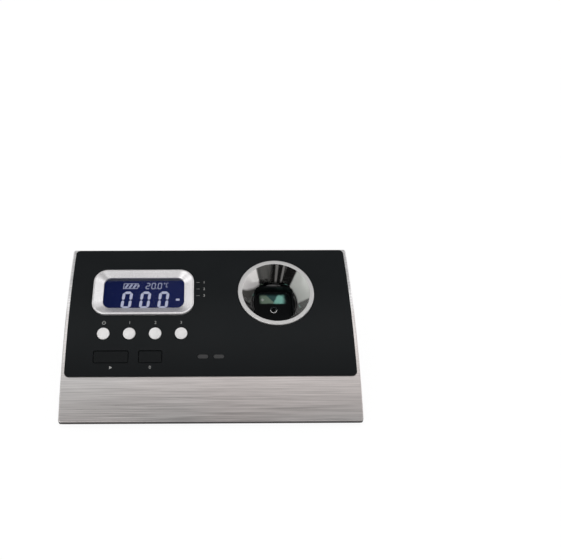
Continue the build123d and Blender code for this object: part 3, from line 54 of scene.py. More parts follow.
# The arched top, as the solids have it: a cylinder whose axis runs along X
ARCH_RADIUS = 240.0
PANEL_RADIUS = 241.2
REAR_TILT = 5.0
REAR_HEIGHT = 40.0
HALF_DEPTH = 52.5
ARCH_Y = HALF_DEPTH + ARCH_RADIUS * math.sin(math.radians(REAR_TILT))
ARCH_Z = REAR_HEIGHT - ARCH_RADIUS * math.cos(math.radians(REAR_TILT))

# Places on the top: X, and the distance along the arch from the back edge
DISPLAY_X, DISPLAY_S = -39.8, 33.8
BUTTON_X = (-62.0, -47.0, -32.0, -17.0)
START_X, ZERO_X = -57.0, -34.5
BOWL_X, BOWL_S = 39.3, 33.9
BUTTON_LABEL_S = 54.2
KEY_LABEL_S = 81.4
TICK_S = (26.9, 31.6, 36.3)
TICK_X = -7.2
TICK_LABEL_X = -3.6

# Display: how far the glass cell's top lies below the panel's surface, how far its figures
# lean, and their places from its middle: big digits, the small reading with its point, its
# degree sign and its unit, the cell symbol and the marker
LCD_TOP = 5.1
DIGIT_SLANT = 0.10
BIG_LEFT = -13.2
BIG_BOTTOM = -8.4
BIG_PITCH = 11.0
BIG_W = 6.2
BIG_H = 12.2
BIG_STROKE = 1.7
BIG_GAP = 0.22
SMALL_LEFTS = (0.0, 3.4, 7.2)
SMALL_BOTTOM = 5.5
SMALL_W = 2.6
SMALL_H = 4.5
SMALL_STROKE = 0.55
SMALL_GAP = 0.1
POINT_X = 6.5
POINT_SIZE = 0.5
DEGREE_X = 11.2
DEGREE_R, DEGREE_HOLE = 0.5, 0.22
UNIT_LEFT, UNIT_W = 12.2, 1.6
UNIT_RISE = 1.2
UNIT_STROKE, UNIT_GAP = 0.4, 0.08
CELL_LEFT = -13.6
CELL_V = 7.7
CELL_LENGTH = 8.9
CELL_HALF_HEIGHT = 1.75
CELL_LINE = 0.45
CELL_STRIPE_START, CELL_STRIPE_STEP = 2.0, 2.45
CELL_STRIPE_LENGTH, CELL_STRIPE_WIDTH = 2.9, 1.2
CELL_STRIPE_LEAN = 60
CELL_ENDS = (0.2, 8.7)
CELL_END_HEIGHT = 3.9
CELL_TIP, CELL_TIP_W, CELL_TIP_H = 9.3, 0.8, 1.5
MARKER_X = 20.3
MARKER_V = -2.1
MARKER_W, MARKER_H = 2.2, 1.4

# Keys: where the plane that they move square to touches the panel, their two rows on it, and
# below it the mat, its domes and the keys' stems, whose levels are depths under that plane
KEY_S = 68.0
BUTTON_V, KEY_V = 7.0, -7.1
MAT_X = -39.5
MAT_W, MAT_D = 60.0, 21.0
MAT_CORNER = 1.6
MAT_BOTTOM = 6.3
MAT_TOP = 5.7
DOME_TOP = 4.65
DOME_R, DOME_TOP_R = 2.9, 2.165
DOME_EDGE = 0.2

# Sample well: the prism and the temperature sensor, up the slope from the bowl's axis, and
# the sensor's face, as a depth under the panel and a radius
PRISM_V = 7.05
SENSOR_V = -1.3
SENSOR_FACE = 19.15
SENSOR_FACE_R = 1.45

# Prints and lit figures: their distance from what carries them, and their thickness
LIFT = 0.02
SIGN_DEPTH = 0.01
PRINT_DEPTH = 0.02
SENSOR_GLASS_DEPTH = 0.12

# Printed marks: a figure's height and its share of the font's size, the ticks, the power
# symbol with its opening to each side of the top, and the start symbol
FIGURE_HEIGHT = 1.8
FIGURE_SHARE = 0.72
TICK_LENGTH, TICK_WIDTH = 2.0, 0.14
POWER_R, POWER_LINE = 0.95, 0.3
POWER_OPENING = 38
POWER_BAR_V, POWER_BAR = 0.75, 1.1
ARROW_R = 1.1


def surface_frame(x, distance):
    """Matrix of the plane that touches the panel: X across, Y up the slope, Z outwards."""
    tilt = math.radians(REAR_TILT) + distance / ARCH_RADIUS
    y = ARCH_Y - PANEL_RADIUS * math.sin(tilt)
    z = ARCH_Z + PANEL_RADIUS * math.cos(tilt)
    place = Matrix.Translation(Vector((x, y, z)) * MM)
    return place @ Matrix.Rotation(tilt, 4, "X") @ Matrix.Scale(MM, 4)


def toned(colour, share):
    """A colour with each of its levels at this share."""
    return tuple(level * share for level in colour)


class Value:
    """A node's output; arithmetic on it adds Math nodes to the same tree."""

    def __init__(self, finish, socket):
        self.finish = finish
        self.socket = socket

    def math(self, operation, *others):
        return self.finish.node(
            "ShaderNodeMath", {"operation": operation}, dict(enumerate((self, *others)))
        )

    def __add__(self, other):
        return self.math("ADD", other)

    def __sub__(self, other):
        return self.math("SUBTRACT", other)

    def __mul__(self, other):
        return self.math("MULTIPLY", other)

    def __pow__(self, other):
        return self.math("POWER", other)

    def __rsub__(self, other):
        return self * -1.0 + other

    __radd__ = __add__
    __rmul__ = __mul__

    def between(self, low, high, start=0.0, end=1.0):
        """This value's span from low to high brought smoothly to start and end."""
        return self.finish.node(
            "ShaderNodeMapRange",
            {"interpolation_type": "SMOOTHSTEP"},
            {"Value": self, "From Min": low, "From Max": high, "To Min": start, "To Max": end},
        )

    def part(self, name):
        """Another output of the same node."""
        return Value(self.finish, self.socket.node.outputs[name])


class Finish:
    """One node tree, of a material or of the world, and the nodes put into it."""

    def __init__(self, name, owner=None):
        self.owner = owner or bpy.data.materials.new(name)
        self.owner.use_nodes = True
        self.tree = self.owner.node_tree
        self.tree.nodes.clear()

    def node(self, kind, settings=(), sockets=(), output=0):
        """A node of this kind: its settings first, then the values or links of its sockets."""
        made = self.tree.nodes.new(kind)
        for name, value in dict(settings).items():
            setattr(made, name, value)
        for key, value in dict(sockets).items():
            socket = made.inputs[key]
            if isinstance(value, Value):
                self.tree.links.new(value.socket, socket)
            elif socket.type == "RGBA" and len(value) == 3:
                socket.default_value = (*value, 1.0)
            else:
                socket.default_value = value
        return Value(self, made.outputs[output]) if made.outputs else made

    def place(self, scale=(1.0, 1.0, 1.0), at=(0.0, 0.0, 0.0), turn=(0.0, 0.0, 0.0)):
        """Object coordinates, centred and turned with a Mapping node, scaled per metre."""
        coordinates = self.node("ShaderNodeTexCoord", output="Object")
        centred = self.node(
            "ShaderNodeMapping",
            {"vector_type": "TEXTURE"},
            {"Vector": coordinates, "Location": at, "Rotation": turn},
        )
        return self.node(
            "ShaderNodeMapping", {"vector_type": "POINT"}, {"Vector": centred, "Scale": scale}
        )

    def place_on(self, plane):
        """Object coordinates in the frame of a plane on the object, in metres."""
        return self.place(at=tuple(plane.translation), turn=tuple(plane.to_euler()))

    def split(self, vector):
        """X of a vector; part("Y") and part("Z") of it give the others."""
        return self.node("ShaderNodeSeparateXYZ", {}, {"Vector": vector}, output="X")

    def noise(self, vector, scale=1.0, detail=3.0, roughness=0.5):
        return self.node(
            "ShaderNodeTexNoise",
            {},
            {"Vector": vector, "Scale": scale, "Detail": detail, "Roughness": roughness},
        )

    def blend(self, factor, first, second, mode="MIX"):
        """Mix of two colours."""
        settings = {"data_type": "RGBA", "blend_type": mode}
        return self.node("ShaderNodeMix", settings, {0: factor, 6: first, 7: second}, output=2)

    def bump(self, height, distance, strength=1.0):
        """Normal from a height between 0 and 1 and its depth in metres."""
        return self.node(
            "ShaderNodeBump",
            {},
            {"Height": height, "Distance": distance, "Strength": strength},
        )

    def surface(self, **sockets):
        """Principled surface on the output; underscores in the names stand for spaces."""
        values = {name.replace("_", " "): value for name, value in sockets.items()}
        shader = self.node("ShaderNodeBsdfPrincipled", {}, values)
        self.finish_with(shader)
        return self.owner

    def finish_with(self, shader, kind="ShaderNodeOutputMaterial"):
        self.node(kind, {}, {"Surface": shader})
        return self.owner


# Bands of the cover's finish, in metres: the fold down to the side walls, a painted highlight
# strip beside the panel towards the back, and painted shade along the lower edge
FOLD_X = (0.0843, 0.0847)
HIGHLIGHT_STRIP_X, HIGHLIGHT_STRIP_Y = (0.0795, 0.0815), (0.002, 0.016)
LIP_SHADE_Z = (0.0052, 0.0044)

# Streaks of the brushing, per metre along and across them: the fine ones and the coarse ones
FINE_ALONG, FINE_ACROSS = 32.0, 2700.0
COARSE_ALONG, COARSE_ACROSS = 13.0, 1700.0


def brushed_steel(name, colour, low, high):
    """Stainless sheet brushed along X and on down its folded sides, with painted highlight strips
    and painted shade along its lower edge.
    """
    finish = Finish(name)
    x = finish.split(finish.place())

    def brushed(fine, coarse):
        streaks = finish.noise(finish.place(fine), detail=3.0, roughness=0.6)
        return streaks * 0.6 + finish.noise(finish.place(coarse), detail=2.0) * 0.4

    across = brushed(
        (FINE_ALONG, FINE_ACROSS, FINE_ACROSS), (COARSE_ALONG, COARSE_ACROSS, COARSE_ACROSS)
    )
    upright = brushed(
        (FINE_ACROSS, FINE_ACROSS, FINE_ALONG), (COARSE_ACROSS, COARSE_ACROSS, COARSE_ALONG)
    )
    grain = finish.blend(x.math("ABSOLUTE").between(*FOLD_X), across, upright)
    tone = finish.noise(finish.place((11.0, 16.0, 16.0)), detail=1.0)
    warm = tuple(c * w for c, w in zip(colour, (1.03, 0.985, 0.975)))
    base = finish.blend(tone.between(0.35, 0.65), colour, warm)
    shade = finish.blend(grain.between(0.34, 0.66), (0.75, 0.75, 0.75), (1.07, 1.07, 1.07))
    # Painted highlight: the base colour made brighter in a strip beside the panel towards the back
    highlight_strip = x.math("ABSOLUTE").between(*HIGHLIGHT_STRIP_X) * x.part("Y").between(*HIGHLIGHT_STRIP_Y)
    base = finish.blend(highlight_strip, base, (0.96, 0.95, 0.95))
    # Painted shade: the lowest edge of the sheet darkened, standing in for the shadow gap above the
    # tray
    lip_shade = x.part("Z").between(*LIP_SHADE_Z)
    shade = finish.blend(lip_shade, shade, (0.20, 0.20, 0.20))
    return finish.surface(
        Base_Color=finish.blend(1.0, base, shade, "MULTIPLY"),
        Metallic=1.0,
        Roughness=grain.between(0.25, 0.75, low, high),
        Normal=finish.bump(grain, 0.000012, 0.6),
    )


# The black finishes grow darker over this stretch of Y, in metres, towards the front: painted shade
PAINTED_SHADE_Y = (0.0, -0.042)


def satin_black(name, level, low, high, grain_scale, depth):
    """Black lacquer or moulded plastic with a fine even texture, darker towards the front as
    painted shade.
    """
    finish = Finish(name)
    grain = finish.noise(finish.place(), scale=grain_scale, detail=2.0)
    cloud = finish.noise(finish.place(), scale=38.0, detail=3.0)
    cool = tuple(level * share for share in (0.96, 1.10, 1.20))
    tint = finish.blend(cloud.between(0.3, 0.7), cool, toned(cool, 1.06))
    y = finish.split(finish.place()).part("Y")
    # Painted shade: the tint darkened towards the front
    tint = finish.blend(y.between(*PAINTED_SHADE_Y), tint, toned(cool, 0.70))
    return finish.surface(
        Base_Color=tint,
        Roughness=cloud.between(0.3, 0.7, low, high),
        Specular_IOR_Level=0.06,
        Normal=finish.bump(grain, depth, 0.5),
    )


def soft_plastic(name, colour, roughness, grain_scale=2600.0, depth=0.000015, glow=0.0):
    """Moulded plastic or rubber: fine grain and small changes of tone."""
    finish = Finish(name)
    grain = finish.noise(finish.place(), scale=grain_scale, detail=2.0)
    tone = finish.noise(finish.place(), scale=120.0, detail=2.0)
    return finish.surface(
        Base_Color=finish.blend(tone.between(0.35, 0.65), toned(colour, 0.90), colour),
        Roughness=grain.between(0.2, 0.8, roughness - 0.05, roughness + 0.07),
        Subsurface_Weight=glow,
        Subsurface_Radius=(0.002, 0.002, 0.002),
        Normal=finish.bump(grain, depth, 0.4),
    )


def plated_metal(name, colour, roughness, grain_scale=900.0):
    """Plated or cast metal with a fine mottled sheen."""
    finish = Finish(name)
    mottle = finish.noise(finish.place(), scale=grain_scale, detail=3.0)
    spots = finish.noise(finish.place(), scale=160.0, detail=2.0)
    return finish.surface(
        Base_Color=finish.blend(spots.between(0.4, 0.62), colour, toned(colour, 0.86)),
        Metallic=1.0,
        Roughness=mottle.between(0.25, 0.75, roughness - 0.05, roughness + 0.09),
        Normal=finish.bump(mottle, 0.000008, 0.5),
    )


def clear_glass(name, tint, share, shine=1.0):
    """Clear piece: a tinted body of this share, and a gloss that grows sideways."""
    finish = Finish(name)
    smears = finish.noise(finish.place(), scale=90.0, detail=3.0)
    smear = smears.between(0.3, 0.7)
    open_part = finish.node("ShaderNodeBsdfTransparent", {}, {"Color": (1.0, 1.0, 1.0)})
    body = finish.node(
        "ShaderNodeBsdfPrincipled",
        {},
        {
            "Base Color": finish.blend(smear, tint, toned(tint, 0.9)),
            "Roughness": smears.between(0.3, 0.7, 0.2, 0.3),
        },
    )
    gloss = finish.node("ShaderNodeBsdfGlossy", {}, {"Color": (1.0, 1.0, 1.0), "Roughness": 0.03})
    filled = smears.between(0.3, 0.7, share * 0.9, share)
    tinted = finish.node("ShaderNodeMixShader", {}, {0: filled, 1: open_part, 2: body})
    edge = finish.node("ShaderNodeFresnel", {}, {"IOR": 1.45}) * shine
    return finish.finish_with(
        finish.node("ShaderNodeMixShader", {}, {0: edge, 1: tinted, 2: gloss})
    )


def bezel_paint():
    """Fine silver paint on the display's frame: small flakes under a satin clear coat."""
    finish = Finish("bezel silver")
    flakes = finish.node(
        "ShaderNodeTexVoronoi", {"feature": "F1"}, {"Vector": finish.place(), "Scale": 5200.0}
    )
    tone = finish.noise(finish.place(), scale=70.0, detail=2.0)
    return finish.surface(
        Base_Color=finish.blend(tone.between(0.3, 0.7), (0.78, 0.77, 0.78), (0.83, 0.81, 0.82)),
        Metallic=0.72,
        Roughness=flakes.between(0.0, 0.7, 0.22, 0.30),
        Coat_Weight=0.35,
        Coat_Roughness=0.18,
        Normal=finish.bump(flakes, 0.000004, 0.4),
    )


# Bands of the bowl's finish by their distance from its axis, in metres
RIM_R = (0.0200, 0.0203)
# The foot band is painted shade: the cone darkened where it meets the well
FOOT_SHADE_R = (0.0146, 0.0134)
WALL_R = (0.0134, 0.0146)


def bowl_polish():
    """Mirror-turned steel: clear cone with a foot darkened as painted shade, misted sides carrying
    painted reflections, and a satin rim.
    """
    finish = Finish("bowl polish")
    place = finish.place_on(surface_frame(BOWL_X, BOWL_S))
    x = finish.split(place)
    y = x.part("Y")
    radius = (x * x + y * y) ** 0.5
    rim = radius.between(*RIM_R)
    rings = finish.noise(
        finish.node("ShaderNodeCombineXYZ", {}, {"X": radius * 9000.0, "Y": x.part("Z") * 300.0}),
        detail=2.0,
    )
    film = finish.noise(finish.place(), scale=140.0, detail=3.0)
    base = finish.blend(film.between(0.35, 0.65), (0.52, 0.51, 0.50), (0.49, 0.485, 0.48))
    wall = radius.between(*WALL_R) * (1.0 - rim)
    # Painted shade: the cone's foot darkened near black where it meets the well
    foot = radius.between(*FOOT_SHADE_R)
    base = finish.blend(foot, base, (0.07, 0.07, 0.07))
    low_right = (y + x * 0.64 + film * 0.002).between(0.0084, 0.0102, 0.35, 1.0)
    right = (x - y * 0.9).between(-0.0008, 0.0012) * x.between(0.004, 0.008) * low_right
    slope = y - x * 0.90 + film * 0.001
    left = (x + y * 0.47).between(-0.0023, -0.0039) * slope.between(0.0104, 0.0164)
    # The misted patches are part haze, where the steel is made less metallic, and part painted
    # reflection
    haze_and_painted_reflection = (right + left * x.between(0.0, -0.004)) * wall
    # Painted reflection: a white patch upper left, a dark patch lower left and pale grey on the
    # right wall
    upper_left = slope.between(0.0195, 0.0213)
    painted_reflection = finish.blend(upper_left, (0.10, 0.097, 0.092), (0.88, 0.85, 0.85))
    painted_reflection = finish.blend(x.between(-0.001, 0.001), painted_reflection, (0.70, 0.72, 0.685))
    base = finish.blend(haze_and_painted_reflection, base, painted_reflection)
    polish = film.between(0.3, 0.7, 0.03, 0.05) + rings * 0.02
    return finish.surface(
        Base_Color=finish.blend(rim, base, (0.62, 0.612, 0.607)),
        Metallic=1.0 - haze_and_painted_reflection * 0.8,
        Roughness=polish + rim * 0.40,
        Normal=finish.bump(rings, 0.0000012, 0.5),
    )


def prism_teal():
    """Polished prism: dark green glass with paler painted reflections, a painted glint and a
    painted glow of its own colour.
    """
    finish = Finish("prism teal")
    place = finish.place_on(surface_frame(BOWL_X, BOWL_S))
    x = finish.split(place)
    y = x.part("Y") - PRISM_V * MM
    haze = finish.noise(place, scale=420.0, detail=2.0)
    soft = haze * 0.0012
    inside = (x + soft).math("ABSOLUTE").between(0.0088, 0.0058)
    inside = inside * (y + soft).math("ABSOLUTE").between(0.0040, 0.0020)
    # Painted reflections: paler green areas to the left and to the right, and a painted glint at
    # the left
    left_painted_reflection = (x + y * 0.9 + soft).between(-0.0008, -0.0020)
    right_painted_reflection = (x - y * 0.5 + soft).between(0.0018, 0.0030)
    painted_glint = (x + 0.0066).math("ABSOLUTE") + (y + 0.0008).math("ABSOLUTE")
    colour = finish.blend(left_painted_reflection, (0.022, 0.052, 0.050), (0.100, 0.138, 0.105))
    colour = finish.blend(right_painted_reflection, colour, (0.145, 0.325, 0.275))
    colour = finish.blend(painted_glint.between(0.0016, 0.0006) * 0.7, colour, (0.30, 0.32, 0.30))
    colour = finish.blend(inside, (0.004, 0.007, 0.007), colour)
    return finish.surface(
        Base_Color=colour,
        Roughness=haze.between(0.3, 0.7, 0.05, 0.09),
        Specular_IOR_Level=0.2,
        # Painted glow: the prism gives off its own colour, though it is no lamp
        Emission_Color=colour,
        Emission_Strength=0.5,
    )


def sensor_rim():
    """Turned metal rim round the temperature sensor, with a painted highlight along its front half
    and near black elsewhere.
    """
    finish = Finish("sensor rim")
    place = finish.place_on(surface_frame(BOWL_X, BOWL_S))
    y = finish.split(place).part("Y")
    scuff = finish.noise(place, scale=2400.0, detail=2.0)
    # Painted highlight: the rim's base colour bright along its front half and near black behind it
    front_painted_highlight = (y - SENSOR_V * MM + scuff * 0.0003).between(0.0008, -0.0006)
    return finish.surface(
        Base_Color=finish.blend(front_painted_highlight, (0.05, 0.055, 0.06), (0.86, 0.86, 0.86)),
        Metallic=1.0,
        Roughness=scuff.between(0.3, 0.7, 0.14, 0.24),
        Normal=finish.bump(scuff, 0.000004, 0.4),
    )


def display_cell():
    """Backlit cell: even navy glow, weaker to the left, with a painted shadow of the frame as a
    grey stretch along its top.
    """
    finish = Finish("display cell")
    place = finish.place_on(surface_frame(DISPLAY_X, DISPLAY_S))
    x = finish.split(place)
    haze = finish.noise(finish.place(), scale=60.0, detail=2.0)
    side = (x + haze * 0.01).between(-0.026, 0.010)
    glow = finish.blend(side, (0.0008, 0.0040, 0.038), (0.0018, 0.0050, 0.050))
    # Painted shadow: a grey stretch in the glow along the top, standing in for the frame's shadow
    # on the cell
    glow = finish.blend(x.part("Y").between(0.0109, 0.0121), glow, (0.036, 0.039, 0.050))
    grid = finish.noise(finish.place(), scale=6000.0, detail=0.0)
    return finish.surface(
        Base_Color=(0.002, 0.003, 0.010),
        Roughness=grid.between(0.3, 0.7, 0.20, 0.28),
        Specular_IOR_Level=0.02,
        Emission_Color=glow,
        Emission_Strength=1.0,
    )


def lit_segment(name, colour):
    """Display segment: pale light with a fine cell grain."""
    finish = Finish(name)
    grain = finish.noise(finish.place(), scale=3200.0, detail=1.0)
    cells = finish.blend(grain.between(0.3, 0.7), toned(colour, 0.88), colour)
    return finish.surface(
        Base_Color=(0.02, 0.02, 0.03),
        Roughness=0.5,
        Emission_Color=cells,
        Emission_Strength=1.0,
    )


def printed_ink(name, colour):
    """Screen-printed ink, a little uneven."""
    finish = Finish(name)
    grain = finish.noise(finish.place(), scale=2200.0, detail=3.0)
    return finish.surface(
        Base_Color=finish.blend(grain.between(0.3, 0.7), toned(colour, 0.8), colour),
        Roughness=grain.between(0.3, 0.7, 0.5, 0.65),
        Normal=finish.bump(grain, 0.000003, 0.5),
    )


def board_mask():
    """Solder mask over copper tracks laid out in both directions."""
    finish = Finish("board mask")
    x = finish.split(finish.place())
    y = x.part("Y")
    weave = finish.noise(finish.place((160.0, 40.0, 40.0)), detail=0.0)
    across = (x * 3200.0 + weave * 6.0).math("SINE").between(0.55, 0.75)
    along = (y * 3200.0 + weave * 9.0).math("SINE").between(0.55, 0.75)
    track = finish.blend(weave.between(0.45, 0.55), across, along)
    colour = finish.blend(track, (0.010, 0.075, 0.030), (0.030, 0.150, 0.055))
    return finish.surface(
        Base_Color=colour, Roughness=0.32, Normal=finish.bump(track, 0.00003, 0.6)
    )


def wound_copper():
    """Enamelled wire lying turn by turn along X."""
    finish = Finish("wound copper")
    x = finish.split(finish.place())
    turns = (x * 25000.0).math("SINE").between(-1.0, 1.0)
    colour = finish.blend(turns, (0.22, 0.06, 0.02), (0.72, 0.28, 0.12))
    return finish.surface(
        Base_Color=colour,
        Metallic=0.9,
        Roughness=turns.between(0.0, 1.0, 0.45, 0.22),
        Normal=finish.bump(turns, 0.00006, 0.8),
    )


FINISHES = {
    "brushed_cover": brushed_steel("brushed cover", (0.605, 0.585, 0.577), 0.26, 0.42),
    "plated_steel": plated_metal("plated steel", (0.66, 0.66, 0.68), 0.24),
    "panel_black": satin_black("panel black", 0.0108, 0.30, 0.40, 5200.0, 0.000006),
    "bezel_silver": bezel_paint(),
    "display_window": clear_glass("display pane", (0.10, 0.11, 0.16), 0.02, 0.12),
    "gasket_black": soft_plastic("gasket rubber", (0.018, 0.018, 0.018), 0.65),
    "lcd_glass": display_cell(),
    "light_guide": soft_plastic("light guide", (0.72, 0.76, 0.86), 0.25, glow=0.2),
    "inner_black": soft_plastic("inner moulding", (0.022, 0.022, 0.023), 0.55),
    "button_white": soft_plastic("button white", (0.88, 0.865, 0.865), 0.34, 2600.0, 0.000005, 0.1),
    "key_black": satin_black("key black", 0.0082, 0.28, 0.36, 5200.0, 0.000004),
    "silicone": soft_plastic("silicone mat", (0.34, 0.34, 0.36), 0.5, glow=0.1),
    "circuit_board": board_mask(),
    "lamp_lens": soft_plastic("lamp lens", (0.012, 0.012, 0.013), 0.40),
    "polished_steel": bowl_polish(),
    "well_black": satin_black("well black", 0.0065, 0.12, 0.20, 3000.0, 0.000003),
    "optical_glass": clear_glass("optical glass", (0.62, 0.78, 0.74), 0.35),
    "prism_glass": prism_teal(),
    "sensor_metal": sensor_rim(),
    "cast_aluminium": plated_metal("black anodising", (0.055, 0.055, 0.060), 0.42, 1600.0),
    "lamp_amber": soft_plastic("lamp amber", (0.80, 0.42, 0.06), 0.2, glow=0.2),
    "filter_amber": clear_glass("filter amber", (0.90, 0.45, 0.06), 0.8),
    "polariser_film": clear_glass("polariser grey", (0.12, 0.12, 0.13), 0.8),
    "copper_wire": wound_copper(),
    "chip_black": soft_plastic("chip epoxy", (0.028, 0.028, 0.030), 0.5, 1800.0),
    "flat_cable": soft_plastic("flat cable", (0.66, 0.63, 0.56), 0.4),
    "tray_black": soft_plastic("tray moulding", (0.020, 0.020, 0.021), 0.52, 1900.0, 0.00004),
    "foot_rubber": soft_plastic("foot rubber", (0.016, 0.016, 0.016), 0.75, 1200.0, 0.00004),
    "battery_case": plated_metal("cell sleeve", (0.34, 0.35, 0.38), 0.32),
    "spring_steel": plated_metal("spring strip", (0.70, 0.69, 0.67), 0.22),
}

for part in frame["record"]["subparts"]:
    solid = frame["nodes"][part["node"]]
    solid.data.materials.clear()
    solid.data.materials.append(FINISHES[part["material_slot"]])


def keep(mesh_maker, name, matrix, body, material):
    """Turns a bmesh into a piece: placed in its mesh, riding on a body, with its finish."""
    mesh = bpy.data.meshes.new(name)
    bmesh.ops.transform(mesh_maker, matrix=matrix, verts=mesh_maker.verts)
    bmesh.ops.recalc_face_normals(mesh_maker, faces=mesh_maker.faces)
    mesh_maker.to_mesh(mesh)
    mesh_maker.free()
    piece = bpy.data.objects.new(name, mesh)
    scene.collection.objects.link(piece)
    mesh.materials.append(material)
    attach(piece, body)
    return piece


def raise_faces(maker, faces, height):
    """Gives flat faces a thickness along Z."""
    grown = bmesh.ops.extrude_face_region(maker, geom=faces)
    top = [item for item in grown["geom"] if isinstance(item, bmesh.types.BMVert)]
    bmesh.ops.translate(maker, verts=top, vec=(0.0, 0.0, height))


def bar(maker, centre, length, width, angle=0.0, pointed=0.0):
    """Flat bar with square or pointed ends, drawn from its few corners."""
    half_l, half_w = length / 2, width / 2
    corners = [
        (half_l - pointed, -half_w),
        (half_l, 0.0),
        (half_l - pointed, half_w),
        (pointed - half_l, half_w),
        (-half_l, 0.0),
        (pointed - half_l, -half_w),
    ]
    turn = Matrix.Rotation(angle, 3, "Z")
    verts = [maker.verts.new(turn @ Vector((x, y, 0.0)) + Vector(centre)) for x, y in corners]
    return maker.faces.new(verts)


# Segments of a digit: a top, b upper right, c lower right, d bottom, e lower left,
# f upper left, g middle
SEGMENTS = {
    "0": "abcdef",
    "2": "abged",
    "C": "afed",
}


def digit(maker, sign, left, bottom, width, height, stroke, gap):
    """Seven-segment digit, upright; the whole display is slanted afterwards."""
    middle_x, middle_y = left + width / 2, bottom + height / 2
    across = width - stroke - gap
    upright = height / 2 - stroke / 2 - gap
    low_y = bottom + stroke / 2 + upright / 2 + gap / 2
    high_y = bottom + height - stroke / 2 - upright / 2 - gap / 2
    right_x, left_x = left + width - stroke / 2, left + stroke / 2
    places = {
        "a": (middle_x, bottom + height - stroke / 2, across, 0.0),
        "g": (middle_x, middle_y, across, 0.0),
        "d": (middle_x, bottom + stroke / 2, across, 0.0),
        "b": (right_x, high_y, upright, math.pi / 2),
        "c": (right_x, low_y, upright, math.pi / 2),
        "f": (left_x, high_y, upright, math.pi / 2),
        "e": (left_x, low_y, upright, math.pi / 2),
    }
    for letter in SEGMENTS[sign]:
        x, y, length, angle = places[letter]
        bar(maker, (x, y, 0.0), length, stroke, angle, pointed=stroke / 2)


def slant(maker):
    """Leans everything drawn so far to the right."""
    for vert in maker.verts:
        vert.co.x += vert.co.y * DIGIT_SLANT


def display_signs():
    """Big digits, the small reading with its degree sign, a cell symbol and a marker."""
    signs = bmesh.new()
    for index in range(3):
        left = BIG_LEFT + index * BIG_PITCH
        digit(signs, "0", left, BIG_BOTTOM, BIG_W, BIG_H, BIG_STROKE, BIG_GAP)
    slant(signs)
    bar(signs, (MARKER_X, MARKER_V, 0.0), MARKER_W, MARKER_H)
    raise_faces(signs, signs.faces[:], SIGN_DEPTH)
    plane = surface_frame(DISPLAY_X, DISPLAY_S) @ Matrix.Translation((0.0, 0.0, LIFT - LCD_TOP))
    pale = lit_segment("lit segment", (0.40, 0.42, 0.56))
    keep(signs, "display_digits", plane, "case", pale)

    reading = bmesh.new()
    for sign, left in zip("200", SMALL_LEFTS):
        digit(reading, sign, left, SMALL_BOTTOM, SMALL_W, SMALL_H, SMALL_STROKE, SMALL_GAP)
    bar(reading, (POINT_X, SMALL_BOTTOM + POINT_SIZE / 2, 0.0), POINT_SIZE, POINT_SIZE)
    unit_bottom, unit_height = SMALL_BOTTOM + UNIT_RISE, SMALL_H - UNIT_RISE
    digit(reading, "C", UNIT_LEFT, unit_bottom, UNIT_W, unit_height, UNIT_STROKE, UNIT_GAP)
    ring = bmesh.ops.create_circle(reading, segments=16, radius=DEGREE_R)["verts"]
    inside = bmesh.ops.create_circle(reading, segments=16, radius=DEGREE_HOLE)["verts"]
    edges = {edge for vert in ring + inside for edge in vert.link_edges}
    bmesh.ops.bridge_loops(reading, edges=list(edges))
    corner = (DEGREE_X, SMALL_BOTTOM + SMALL_H - DEGREE_R, 0.0)
    bmesh.ops.translate(reading, verts=ring + inside, vec=corner)
    slant(reading)
    raise_faces(reading, reading.faces[:], SIGN_DEPTH)
    dim = lit_segment("dim segment", (0.28, 0.30, 0.42))
    keep(reading, "display_reading", plane, "case", dim)

    symbol = bmesh.new()
    for index in range(3):
        middle = (CELL_LEFT + CELL_STRIPE_START + index * CELL_STRIPE_STEP, CELL_V, 0.0)
        lean = math.radians(CELL_STRIPE_LEAN)
        bar(symbol, middle, CELL_STRIPE_LENGTH, CELL_STRIPE_WIDTH, lean)
    for side in (-1, 1):
        middle = (CELL_LEFT + CELL_LENGTH / 2, CELL_V + side * CELL_HALF_HEIGHT, 0.0)
        bar(symbol, middle, CELL_LENGTH, CELL_LINE)
    for end in CELL_ENDS:
        bar(symbol, (CELL_LEFT + end, CELL_V, 0.0), CELL_END_HEIGHT, CELL_LINE, math.pi / 2)
    bar(symbol, (CELL_LEFT + CELL_TIP, CELL_V, 0.0), CELL_TIP_W, CELL_TIP_H)
    slant(symbol)
    raise_faces(symbol, symbol.faces[:], SIGN_DEPTH)
    keep(symbol, "display_cell_symbol", plane, "case", dim)


def flat_figure(figure):
    """A plain figure as a flat bmesh, centred on its own box."""
    curve = bpy.data.curves.new("figure", "FONT")
    curve.body = figure
    curve.size = FIGURE_HEIGHT / FIGURE_SHARE
    curve.align_x = "CENTER"
    curve.align_y = "CENTER"
    holder = bpy.data.objects.new("figure", curve)
    scene.collection.objects.link(holder)
    bpy.context.view_layer.update()
    finished = holder.evaluated_get(bpy.context.evaluated_depsgraph_get())
    mesh = bpy.data.meshes.new_from_object(finished)
    maker = bmesh.new()
    maker.from_mesh(mesh)
    bpy.data.objects.remove(holder)
    bpy.data.meshes.remove(mesh)
    bmesh.ops.remove_doubles(maker, verts=maker.verts, dist=0.0001)
    return maker


INK = printed_ink("panel ink", (0.40, 0.40, 0.39))


def print_on_panel(maker, name, x, distance):
    """Prints a flat drawing on the panel at a place."""
    raise_faces(maker, maker.faces[:], PRINT_DEPTH)
    matrix = surface_frame(x, distance) @ Matrix.Translation((0.0, 0.0, LIFT / 2))
    keep(maker, name, matrix, "case", INK)


def arc_strip(maker, radius, width, start, end, steps):
    """Flat ring sector spun from one short edge."""
    inner = maker.verts.new((0.0, radius - width / 2, 0.0))
    outer = maker.verts.new((0.0, radius + width / 2, 0.0))
    edge = maker.edges.new((inner, outer))
    bmesh.ops.rotate(maker, verts=[inner, outer], matrix=Matrix.Rotation(start, 3, "Z"))
    bmesh.ops.spin(
        maker, geom=[edge, inner, outer], axis=(0, 0, 1), angle=end - start, steps=steps
    )


